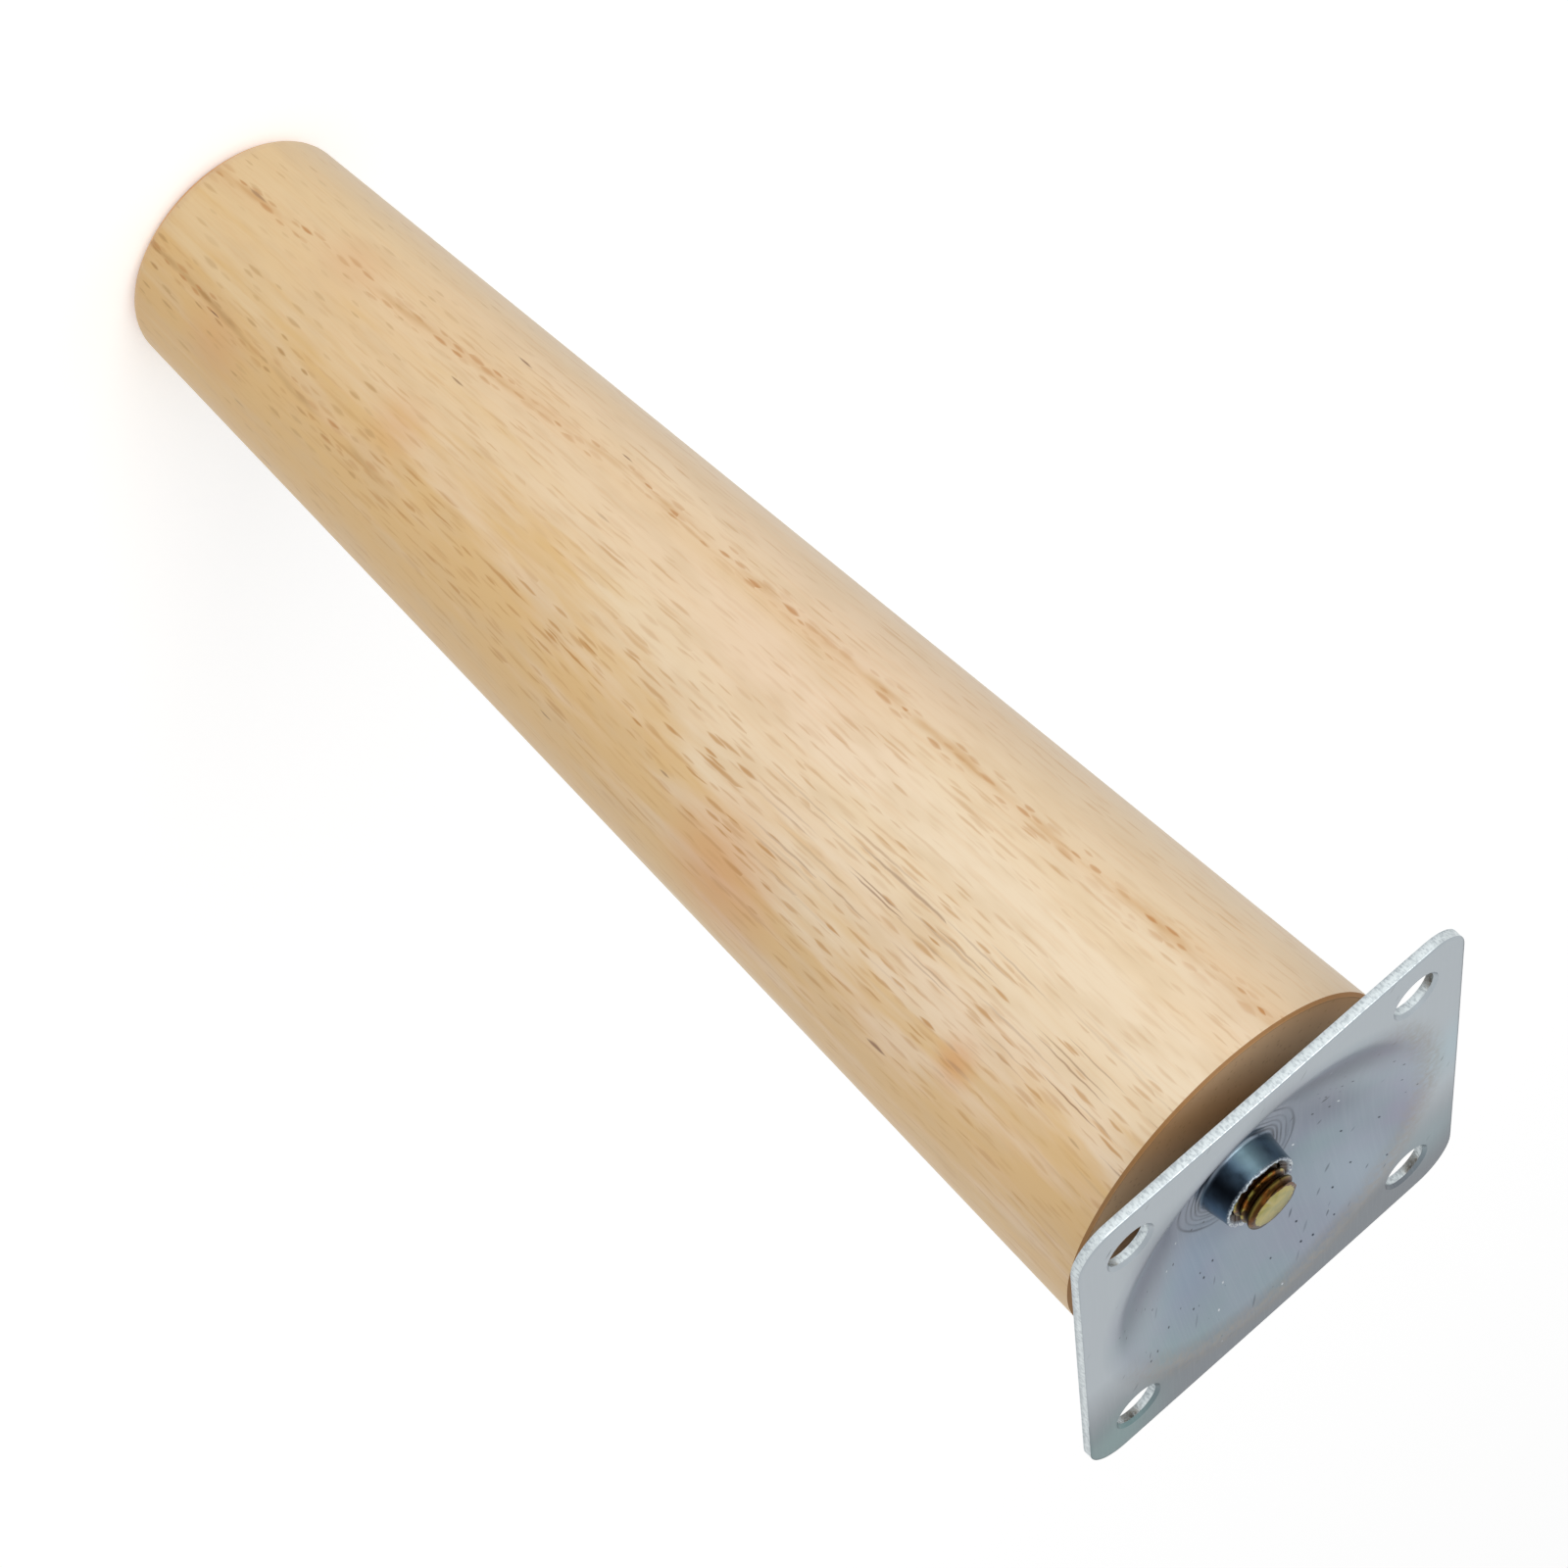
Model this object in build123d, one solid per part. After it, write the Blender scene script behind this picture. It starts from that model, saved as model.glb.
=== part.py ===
from build123d import *

import math
import os

# A turned, tapered wooden furniture leg on its stamped steel mounting plate.
# The leg hangs from the plate along -Z. The origin is the centre of the plate's mounting face, which lies
# at z = 0 and is screwed to the underside of the furniture. The plate's edges run along X and Y.
# All lengths are in millimetres.

# Mounting plate: a square of sheet steel with a screw hole in each corner
plate_width = 62.0
plate_corner_radius = 5.5
sheet_thickness = 1.5
screw_spacing = 46.0
screw_hole_diameter = 6.5

# The dish that is pressed into the middle of the plate, towards the leg
dish_mouth_diameter = 51.0
dish_floor_diameter = 21.0
dish_depth = 6.5
dish_mouth_bend_radius = 3.5
dish_floor_bend_radius = 3.0

# The collar that is drawn up from the dish floor and takes the bolt's thread
collar_base_diameter = 11.9
collar_rim_diameter = 10.9
collar_height = 4.2
collar_root_chamfer = 0.5
collar_rim_chamfer = 0.3
collar_entry_chamfer = 0.8

# Hanger bolt: a machine thread above, a wood thread and a point below
thread_diameter = 8.0
thread_clearance = 0.1
bolt_length = 45.0
bolt_end_chamfer = 0.55
machine_thread_length = 18.0
neck_diameter = 6.8
neck_length = 3.0
wood_thread_diameter = 7.4
point_length = 5.0

# Wooden leg
leg_length = 192.0
leg_top_diameter = 52.0
leg_foot_diameter = 35.0
leg_top_edge_chamfer = 0.4
foot_edge_radius = 3.0
bore_end_gap = 2.0
drill_point_angle = 118.0

# Heights that the pieces share: the bolt ends flush with the mounting face, the leg seats under the dish
dish_floor_z = -dish_depth
leg_top_z = dish_floor_z - sheet_thickness
collar_rim_z = dish_floor_z + collar_height
bolt_end_z = 0.0
bolt_point_z = bolt_end_z - bolt_length


def revolved(profile):
    """Turn a closed profile, drawn in the XZ plane with X as the radius, into a solid of revolution."""
    return revolve(Plane.XZ * profile, Axis.Z)


def corner_at(profile, point):
    """The profile's corner at the given point."""
    return profile.vertices().sort_by_distance(point)[0]


def sheet_profile():
    """Half section of the pressed sheet: flange, sloping dish wall, flat floor and drawn collar."""
    # The flange reaches past the corners of the square that it is trimmed to
    flange_radius = plate_width
    bore_radius = thread_diameter / 2 + thread_clearance
    mouth_radius = dish_mouth_diameter / 2
    floor_radius = dish_floor_diameter / 2
    mouth = (mouth_radius, 0)
    floor = (floor_radius, dish_floor_z)
    collar_base = (collar_base_diameter / 2, dish_floor_z)
    collar_rim = (collar_rim_diameter / 2, collar_rim_z)
    bore_end = (bore_radius, collar_rim_z)
    bore_entry = (bore_radius, leg_top_z)
    floor_back = (floor_radius, leg_top_z)
    mouth_back = (mouth_radius, -sheet_thickness)

    outline = Polyline(
        (flange_radius, 0),
        mouth,
        floor,
        collar_base,
        collar_rim,
        bore_end,
        bore_entry,
        floor_back,
        mouth_back,
        (flange_radius, -sheet_thickness),
        close=True,
    )
    section = make_face(outline)
    # The sheet bends smoothly into its dish; on the back, which the leg covers, the bends are left plain
    bends = [(mouth, dish_mouth_bend_radius), (floor, dish_floor_bend_radius)]
    for corner, radius in bends:
        section = fillet(corner_at(section, corner), radius)
    edges = [
        (collar_base, collar_root_chamfer),
        (collar_rim, collar_rim_chamfer),
        (bore_entry, collar_entry_chamfer),
    ]
    for corner, length in edges:
        section = chamfer(corner_at(section, corner), length)
    return section


def make_mounting_plate():
    """The stamped plate: the pressed sheet, trimmed to a rounded square and pierced for its screws."""
    blank = RectangleRounded(plate_width, plate_width, plate_corner_radius)
    holes = GridLocations(screw_spacing, screw_spacing, 2, 2) * Circle(screw_hole_diameter / 2)
    trim = extrude(blank - holes, amount=dish_depth + sheet_thickness, both=True)
    return revolved(sheet_profile()) & trim


def make_hanger_bolt():
    """The hanger bolt: chamfered machine end, plain neck, wood end and point. Its threads are left plain."""
    thread_radius = thread_diameter / 2
    neck_radius = neck_diameter / 2
    wood_radius = wood_thread_diameter / 2
    neck_top_z = bolt_end_z - machine_thread_length
    neck_bottom_z = neck_top_z - neck_length
    outline = Polyline(
        (0, bolt_end_z),
        (thread_radius - bolt_end_chamfer, bolt_end_z),
        (thread_radius, bolt_end_z - bolt_end_chamfer),
        (thread_radius, neck_top_z),
        (neck_radius, neck_top_z),
        (neck_radius, neck_bottom_z),
        (wood_radius, neck_bottom_z),
        (wood_radius, bolt_point_z + point_length),
        (0, bolt_point_z),
        close=True,
    )
    return revolved(make_face(outline))


def make_wooden_leg():
    """The turned leg: a straight taper, a rounded foot edge and the bore for the bolt in its top end."""
    top_radius = leg_top_diameter / 2
    foot_radius = leg_foot_diameter / 2
    foot_z = leg_top_z - leg_length
    bore_radius = thread_diameter / 2 + thread_clearance
    bore_end_z = bolt_point_z - bore_end_gap
    drill_point = bore_radius / math.tan(math.radians(drill_point_angle / 2))
    top_edge = (top_radius, leg_top_z)
    foot_edge = (foot_radius, foot_z)
    outline = Polyline(
        (0, bore_end_z - drill_point),
        (bore_radius, bore_end_z),
        (bore_radius, leg_top_z),
        top_edge,
        foot_edge,
        (0, foot_z),
        close=True,
    )
    section = make_face(outline)
    section = chamfer(corner_at(section, top_edge), leg_top_edge_chamfer)
    section = fillet(corner_at(section, foot_edge), foot_edge_radius)
    return revolved(section)


def main():
    """Build each piece and write it to its own file."""
    pieces = {
        "mounting_plate": make_mounting_plate(),
        "hanger_bolt": make_hanger_bolt(),
        "wooden_leg": make_wooden_leg(),
    }
    os.makedirs("parts", exist_ok=True)
    for name, shape in pieces.items():
        shape.label = name
        export_step(shape, f"parts/{name}.step")


main()
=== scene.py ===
"""Looks of a turned rubberwood furniture leg, its stamped mounting plate and its hanger bolt.

The frame is in metres. The leg's axis is Z, the plate's mounting face lies at z = 0 and the foot is lowest.
Sizes in the classes below are in millimetres, unless their names say otherwise.
"""

import logging
import math
from dataclasses import dataclass
from enum import Enum

import bmesh
import bpy
from mathutils import Matrix, Vector, noise


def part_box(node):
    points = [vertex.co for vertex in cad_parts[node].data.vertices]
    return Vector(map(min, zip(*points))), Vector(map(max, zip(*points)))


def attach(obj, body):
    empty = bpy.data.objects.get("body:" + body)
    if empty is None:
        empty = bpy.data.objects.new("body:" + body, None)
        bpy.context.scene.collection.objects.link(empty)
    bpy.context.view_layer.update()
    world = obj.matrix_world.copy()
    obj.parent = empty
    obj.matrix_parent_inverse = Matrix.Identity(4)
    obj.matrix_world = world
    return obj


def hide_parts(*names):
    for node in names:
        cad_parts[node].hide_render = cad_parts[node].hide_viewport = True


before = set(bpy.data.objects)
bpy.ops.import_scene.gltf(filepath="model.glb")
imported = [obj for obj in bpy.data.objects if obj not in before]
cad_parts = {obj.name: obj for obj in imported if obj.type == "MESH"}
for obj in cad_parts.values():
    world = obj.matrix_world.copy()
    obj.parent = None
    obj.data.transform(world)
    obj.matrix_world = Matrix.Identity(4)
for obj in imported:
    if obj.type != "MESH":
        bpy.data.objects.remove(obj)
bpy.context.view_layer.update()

LOG = logging.getLogger("furniture_leg")
MM = 0.001
IMAGE_PX = 1600
SENSOR_MM = 36.0
GRAIN_MAP = "grain"
# The unrolled surface of a turned piece starts at the back, out of the photograph's sight
SEAM_ANGLE = math.radians(-72)
# Points of a finished mesh that are nearer than this are one, and shorter edges are dropped
WELD_M = 2e-7
SHORTEST_M = 1e-7
# Dashes vary by chance between two stretches and two strengths, and are full up to this share of their size
DASH_STRETCH = (1.7, 0.75)
DASH_STRENGTH = (0.25, 0.95)
DASH_CORE = 0.2

# Kinds of node that the trees use often, and the sockets of a Mix node that mixes colours
MATH = "ShaderNodeMath"
VECTOR = "ShaderNodeVectorMath"
RANGE = "ShaderNodeMapRange"
WHOLE = "FunctionNodeIntegerMath"
AXES = "ShaderNodeSeparateXYZ"
MIX = "ShaderNodeMix"
BUMP = "ShaderNodeBump"
PRINCIPLED = "ShaderNodeBsdfPrincipled"
MIX_FACTOR, MIX_A, MIX_B, MIX_COLOUR = 0, 6, 7, 2

Point = tuple[float, float]
Triple = tuple[float, float, float]
Colour = tuple[float, float, float, float]
Cloud = tuple[Point, float, str, float]
Tree = bpy.types.NodeTree
Socket = bpy.types.NodeSocket
Sockets = dict[str, Socket]
Mesh = bpy.types.Mesh
Object = bpy.types.Object


class Body(Enum):
    """The body of the frame that a piece rides on."""

    ROOT = "root"


class Slot(Enum):
    """The record's material slots."""

    WOOD = "rubberwood"
    PLATE = "zinc_plate"
    BOLT = "yellow_zinc"


def linear(code: str) -> Colour:
    """Turn an sRGB hex colour into linear light.

    Args:
        code: The colour as "#RRGGBB".

    Returns:
        Linear red, green and blue, with an alpha of 1.
    """
    values = [int(code[i:i + 2], 16) / 255 for i in (1, 3, 5)]
    light = [v / 12.92 if v <= 0.04045 else ((v + 0.055) / 1.055) ** 2.4 for v in values]
    return (light[0], light[1], light[2], 1.0)


def per_mm(*spans: float) -> Triple:
    """Scale that turns metres into pattern units.

    Args:
        spans: The length in millimetres of one pattern unit along each axis; a missing axis is flattened.

    Returns:
        One factor for each of three axes.
    """
    factors = [1 / (span * MM) for span in spans] + [0.0, 0.0]
    return (factors[0], factors[1], factors[2])


def add(
    tree: Tree,
    kind: str,
    inputs: dict | list | None = None,
    output: int | str = 0,
    **settings: object,
) -> Socket | None:
    """Add one node, with its settings, values and links.

    Args:
        tree: The tree that gets the node.
        kind: The node's type.
        inputs: For each input, in order or by its name, a value, a socket to link from or a list of sockets.
        output: The name or number of the output that is wanted.
        settings: The node's own properties, which are set before its inputs.

    Returns:
        The wanted output, or None for a node without outputs.
    """
    node = tree.nodes.new(kind)
    for name, value in settings.items():
        setattr(node, name, value)
    for key, value in inputs.items() if isinstance(inputs, dict) else enumerate(inputs or []):
        if isinstance(value, (Socket, list)):
            for source in value if isinstance(value, list) else [value]:
                tree.links.new(source, node.inputs[key])
        else:
            node.inputs[key].default_value = value
    return node.outputs[output] if node.outputs else None


def placed(name: str, data: bpy.types.ID) -> Object:
    """Put a new object of the given data into the scene."""
    obj = bpy.data.objects.new(name, data)
    bpy.context.scene.collection.objects.link(obj)
    return obj


def settled(obj: Object) -> Mesh:
    """Turn an object with its modifiers into a plain mesh and delete the object.

    Args:
        obj: The object, linked to the scene.

    Returns:
        The mesh without doubles, with its faces pointing outwards.
    """
    evaluated = obj.evaluated_get(bpy.context.evaluated_depsgraph_get())
    mesh = bpy.data.meshes.new_from_object(evaluated)
    bpy.data.objects.remove(obj)
    # A tree's materials come after an empty slot of the mesh that it started from
    if mesh.materials and mesh.materials[0] is None:
        mesh.materials.pop(index=0)
    shape = bmesh.new()
    shape.from_mesh(mesh)
    bmesh.ops.remove_doubles(shape, verts=shape.verts, dist=WELD_M)
    bmesh.ops.dissolve_degenerate(shape, edges=shape.edges, dist=SHORTEST_M)
    bmesh.ops.recalc_face_normals(shape, faces=shape.faces)
    shape.to_mesh(mesh)
    shape.free()
    return mesh


def grow(tree: Tree, base: Mesh, values: dict[str, object]) -> Mesh:
    """Run a geometry tree once and keep its result as a plain mesh.

    Args:
        tree: The tree to run.
        base: The mesh that the tree starts from.
        values: The tree's inputs by name, apart from its geometry.

    Returns:
        The finished mesh, with its faces pointing outwards.
    """
    obj = placed(tree.name, base)
    modifier = obj.modifiers.new(tree.name, "NODES")
    modifier.node_group = tree
    for item in tree.interface.items_tree:
        if item.in_out == "INPUT" and item.name in values:
            modifier[item.identifier] = values[item.name]
    return settled(obj)


def united(meshes: list[Mesh]) -> Mesh:
    """Unite closed meshes that overlap into one closed mesh.

    Args:
        meshes: The meshes, of which the first gives the material.

    Returns:
        The united mesh.
    """
    objects = [placed(mesh.name, mesh) for mesh in meshes]
    for other in objects[1:]:
        joint = objects[0].modifiers.new("join", "BOOLEAN")
        joint.operation = "UNION"
        joint.solver = "EXACT"
        joint.object = other
    mesh = settled(objects[0])
    for other in objects[1:]:
        bpy.data.objects.remove(other)
    return mesh


def chain(name: str, points: list[Point]) -> Mesh:
    """A chain of edges in the XZ plane through points of radius and height, in millimetres."""
    mesh = bpy.data.meshes.new(name)
    corners = [(radius * MM, 0.0, height * MM) for radius, height in points]
    mesh.from_pydata(corners, [(i, i + 1) for i in range(len(corners) - 1)], [])
    return mesh


def rounded(points: list[Triple], steps: int) -> list[Point]:
    """Round the corners of an open outline.

    Args:
        points: Each corner's two coordinates and its radius, which is 0 where it stays sharp.
        steps: How many pieces each round has.

    Returns:
        The outline's points with every round as an arc.
    """
    outline: list[Point] = [points[0][:2]]
    for before, corner, after in zip(points, points[1:], points[2:]):
        if corner[2] == 0:
            outline.append(corner[:2])
            continue
        here = Vector(corner[:2])
        back = (Vector(before[:2]) - here).normalized()
        ahead = (Vector(after[:2]) - here).normalized()
        half = back.angle(ahead) / 2
        centre = here + (back + ahead).normalized() * (corner[2] / math.sin(half))
        start = here + back * (corner[2] / math.tan(half)) - centre
        end = here + ahead * (corner[2] / math.tan(half)) - centre
        sweep = math.atan2(start.x * end.y - start.y * end.x, start.dot(end))
        for i in range(steps + 1):
            spoke = Matrix.Rotation(sweep * i / steps, 2) @ start
            outline.append((centre.x + spoke.x, centre.y + spoke.y))
    outline.append(points[-1][:2])
    return outline


def divided(start: Point, end: Point, count: int) -> list[Triple]:
    """Points strictly between two ends of a straight run, as sharp corners for an outline."""
    shares = [i / count for i in range(1, count)]
    return [(start[0] + (end[0] - start[0]) * s, start[1] + (end[1] - start[1]) * s, 0.0) for s in shares]


def finished(name: str, mesh: Mesh, sharp_degrees: float, node: str) -> Object:
    """Put a finished mesh into the scene in place of a CAD node.

    Args:
        name: The piece's name.
        mesh: The piece's mesh, with its place in it.
        sharp_degrees: Edges that turn by more than this stay sharp.
        node: The CAD node that the piece stands for.

    Returns:
        The piece's object.
    """
    mesh.name = name
    for face in mesh.polygons:
        face.use_smooth = True
    mesh.set_sharp_from_angle(angle=math.radians(sharp_degrees))
    piece = placed(name, mesh)
    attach(piece, Body.ROOT.value)
    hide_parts(node)
    LOG.info("%s: %d faces in place of %s", name, len(mesh.polygons), node)
    return piece


def new_form(name: str, sockets: dict[str, list[str]]) -> tuple[Tree, Sockets]:
    """Start a geometry tree with named inputs and one mesh output.

    Args:
        name: The tree's name.
        sockets: The names of its inputs by their kind, with the geometry first.

    Returns:
        The tree, and the sockets that carry its inputs by name.
    """
    tree = bpy.data.node_groups.new(name, "GeometryNodeTree")
    for kind, labels in sockets.items():
        for label in labels:
            tree.interface.new_socket(label, in_out="INPUT", socket_type=f"NodeSocket{kind}")
    tree.interface.new_socket("Mesh", in_out="OUTPUT", socket_type="NodeSocketGeometry")
    return tree, {socket.name: socket for socket in tree.nodes.new("NodeGroupInput").outputs}


def lattice(tree: Tree, segments: Socket, rows: Socket) -> tuple[Socket, Socket, Socket]:
    """A grid to be shaped point by point, with one column more than it has segments.

    Args:
        tree: The geometry tree.
        segments: How many faces lie side by side.
        rows: How many points each column has.

    Returns:
        The grid, and each point's column and row.
    """
    columns = add(tree, WHOLE, [segments, 1], operation="ADD")
    sizes = {"Size X": 1.0, "Size Y": 1.0, "Vertices X": columns, "Vertices Y": rows}
    grid = add(tree, "GeometryNodeMeshGrid", sizes)
    index = add(tree, "GeometryNodeInputIndex")
    column = add(tree, WHOLE, [index, rows], operation="DIVIDE_FLOOR")
    return grid, column, add(tree, WHOLE, [index, rows], operation="MODULO")


def point_of(tree: Tree, shape: Socket, index: Socket) -> Socket:
    """Where the point of the given number lies in a shape."""
    wanted = {"Geometry": shape, "Value": add(tree, "GeometryNodeInputPosition"), "Index": index}
    return add(tree, "GeometryNodeSampleIndex", wanted, data_type="FLOAT_VECTOR")


def closed(tree: Tree, body: Socket, weld: float, material: Socket) -> None:
    """End a geometry tree: weld the body's seams, shade it smoothly and give it its material."""
    welded = add(tree, "GeometryNodeMergeByDistance", {"Geometry": body, "Distance": weld})
    smooth = add(tree, "GeometryNodeSetShadeSmooth", {"Geometry": welded})
    real = add(tree, "GeometryNodeRealizeInstances", {"Geometry": smooth})
    dressed = add(tree, "GeometryNodeSetMaterial", {"Geometry": real, "Material": material})
    add(tree, "NodeGroupOutput", {"Mesh": dressed})


def turned_form() -> Tree:
    """Geometry tree that turns a profile about Z and keeps its unrolled surface as the grain map.

    Returns:
        The tree, with the inputs Profile, Segments, Seam, Girth and Material.
    """
    tree, known = new_form(
        "turned_form",
        {"Geometry": ["Profile"], "Int": ["Segments"], "Float": ["Seam", "Girth"], "Material": ["Material"]},
    )
    profile = known["Profile"]
    count = add(tree, "GeometryNodeAttributeDomainSize", {"Geometry": profile}, "Point Count")
    grid, column, row = lattice(tree, known["Segments"], count)
    share = add(tree, MATH, [column, known["Segments"]], operation="DIVIDE")
    angle = add(tree, MATH, [share, math.tau, known["Seam"]], operation="MULTIPLY_ADD")
    arm = {"Vector": point_of(tree, profile, row), "Angle": angle}
    turned = add(tree, "ShaderNodeVectorRotate", arm, rotation_type="Z_AXIS")
    body = add(tree, "GeometryNodeSetPosition", {"Geometry": grid, "Position": turned})
    unrolled = add(tree, AXES, [grid.node.outputs["UV Map"]])
    along = add(tree, MATH, [unrolled, known["Girth"]], operation="MULTIPLY")
    height = add(tree, AXES, [add(tree, "GeometryNodeInputPosition")], "Z")
    grain = add(tree, "ShaderNodeCombineXYZ", [along, height])
    stored = {"Geometry": body, "Name": GRAIN_MAP, "Value": grain}
    mapped = add(tree, "GeometryNodeStoreNamedAttribute", stored, data_type="FLOAT2", domain="CORNER")
    closed(tree, mapped, SHORTEST_M, known["Material"])
    return tree


def stamped_form() -> Tree:
    """Geometry tree of a pressed sheet whose section spreads from a round dish to a rounded square.

    The edge is sheared, so it carries fine upright marks, and a screw hole is punched in each corner.

    Returns:
        The tree, with the section as Profile and the sizes of outline, holes and edge marks as inputs.
    """
    outline_sizes = ["Width", "Corner Radius", "Round Radius", "Edge Marks"]
    hole_sizes = ["Screw Spacing", "Hole Radius", "Hole Roll", "Punch Depth"]
    tree, known = new_form(
        "stamped_form",
        {
            "Geometry": ["Profile"],
            "Int": ["Columns", "Seed", "Corner Steps", "Hole Sides"],
            "Float": [*outline_sizes, *hole_sizes, "Sheared Tilt"],
            "Material": ["Material", "Edge Material"],
        },
    )
    # The outline, with one point for each column of the sheet
    sides = {"Width": known["Width"], "Height": known["Width"]}
    square = add(tree, "GeometryNodeCurvePrimitiveQuadrilateral", sides)
    bends = {"Curve": square, "Count": known["Corner Steps"], "Radius": known["Corner Radius"]}
    corners = add(tree, "GeometryNodeFilletCurve", bends, mode="POLY")
    spaced = {"Curve": corners, "Count": known["Columns"]}
    outline = add(tree, "GeometryNodeResampleCurve", spaced, mode="COUNT")

    # One column of the section for each point of the outline
    profile = known["Profile"]
    count = add(tree, "GeometryNodeAttributeDomainSize", {"Geometry": profile}, "Point Count")
    grid, step, row = lattice(tree, known["Columns"], count)
    column = add(tree, WHOLE, [step, known["Columns"]], operation="MODULO")
    edge_point = point_of(tree, outline, column)
    section_point = point_of(tree, profile, row)
    spoke = add(tree, VECTOR, [edge_point], operation="NORMALIZE")
    reach = add(tree, VECTOR, [edge_point], "Value", operation="LENGTH")
    radius = add(tree, AXES, [section_point], "X")
    half = add(tree, MATH, [known["Width"], 0.5], operation="MULTIPLY")
    squareness = add(tree, RANGE, [radius, known["Round Radius"], half])
    chance = {2: -1.0, 3: 1.0, "ID": column, "Seed": known["Seed"]}
    mark = add(tree, "FunctionNodeRandomValue", chance, 1)
    marked = add(tree, MATH, [mark, known["Edge Marks"], reach], operation="MULTIPLY_ADD")
    spread = add(tree, MATH, [marked, half], operation="SUBTRACT")
    out = add(tree, MATH, [squareness, spread, radius], operation="MULTIPLY_ADD")
    flat = add(tree, VECTOR, {0: spoke, "Scale": out}, operation="SCALE")
    height = add(tree, VECTOR, [section_point, (0.0, 0.0, 1.0)], operation="MULTIPLY")
    point = add(tree, VECTOR, [flat, height], operation="ADD")
    body = add(tree, "GeometryNodeSetPosition", {"Geometry": grid, "Position": point})
    sheet = add(tree, "GeometryNodeMergeByDistance", {"Geometry": body, "Distance": SHORTEST_M})

    # Screw holes: a straight punch, and a cone that rolls the entry edge over
    spacing, hole, roll = (known[name] for name in hole_sizes[:3])
    plan = {"Size X": spacing, "Size Y": spacing, "Vertices X": 2, "Vertices Y": 2}
    screws = add(tree, "GeometryNodeMeshGrid", plan)
    straight = {"Vertices": known["Hole Sides"], "Radius": hole, "Depth": known["Punch Depth"]}
    punch = add(tree, "GeometryNodeMeshCylinder", straight)
    wide = add(tree, MATH, [roll, 2.0, hole], operation="MULTIPLY_ADD")
    tall = add(tree, MATH, [roll, 2.0], operation="MULTIPLY")
    tapered = {"Vertices": known["Hole Sides"], "Radius Top": wide, "Radius Bottom": hole, "Depth": tall}
    cone = add(tree, "GeometryNodeMeshCone", tapered)
    sink = add(tree, MATH, [roll, -1.0], operation="MULTIPLY")
    lowered = add(tree, "ShaderNodeCombineXYZ", {"Z": sink})
    countersink = add(tree, "GeometryNodeTransform", {"Geometry": cone, "Translation": lowered})
    cutters = []
    for tool in (punch, countersink):
        set_out = add(tree, "GeometryNodeInstanceOnPoints", {"Points": screws, "Instance": tool})
        cutters.append(add(tree, "GeometryNodeRealizeInstances", {"Geometry": set_out}))
    cut = {"Mesh 1": sheet, "Mesh 2": cutters}
    pierced = add(tree, "GeometryNodeMeshBoolean", cut, operation="DIFFERENCE", solver="EXACT")

    # Upright faces outside the dish are sheared steel
    facing = [add(tree, "GeometryNodeInputNormal"), (0.0, 0.0, 1.0)]
    tilt = add(tree, VECTOR, facing, "Value", operation="DOT_PRODUCT")
    tilt_size = add(tree, MATH, [tilt], operation="ABSOLUTE")
    upright = add(tree, MATH, [tilt_size, known["Sheared Tilt"]], operation="LESS_THAN")
    place = add(tree, "GeometryNodeInputPosition")
    distance = add(tree, VECTOR, [place], "Value", operation="LENGTH")
    outside = add(tree, MATH, [distance, known["Round Radius"]], operation="GREATER_THAN")
    sheared = add(tree, MATH, [upright, outside], operation="MULTIPLY")
    real = add(tree, "GeometryNodeRealizeInstances", {"Geometry": pierced})
    plated = add(tree, "GeometryNodeSetMaterial", {"Geometry": real, "Material": known["Material"]})
    edge = {"Geometry": plated, "Selection": sheared, "Material": known["Edge Material"]}
    add(tree, "NodeGroupOutput", {"Mesh": add(tree, "GeometryNodeSetMaterial", edge)})
    return tree


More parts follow.
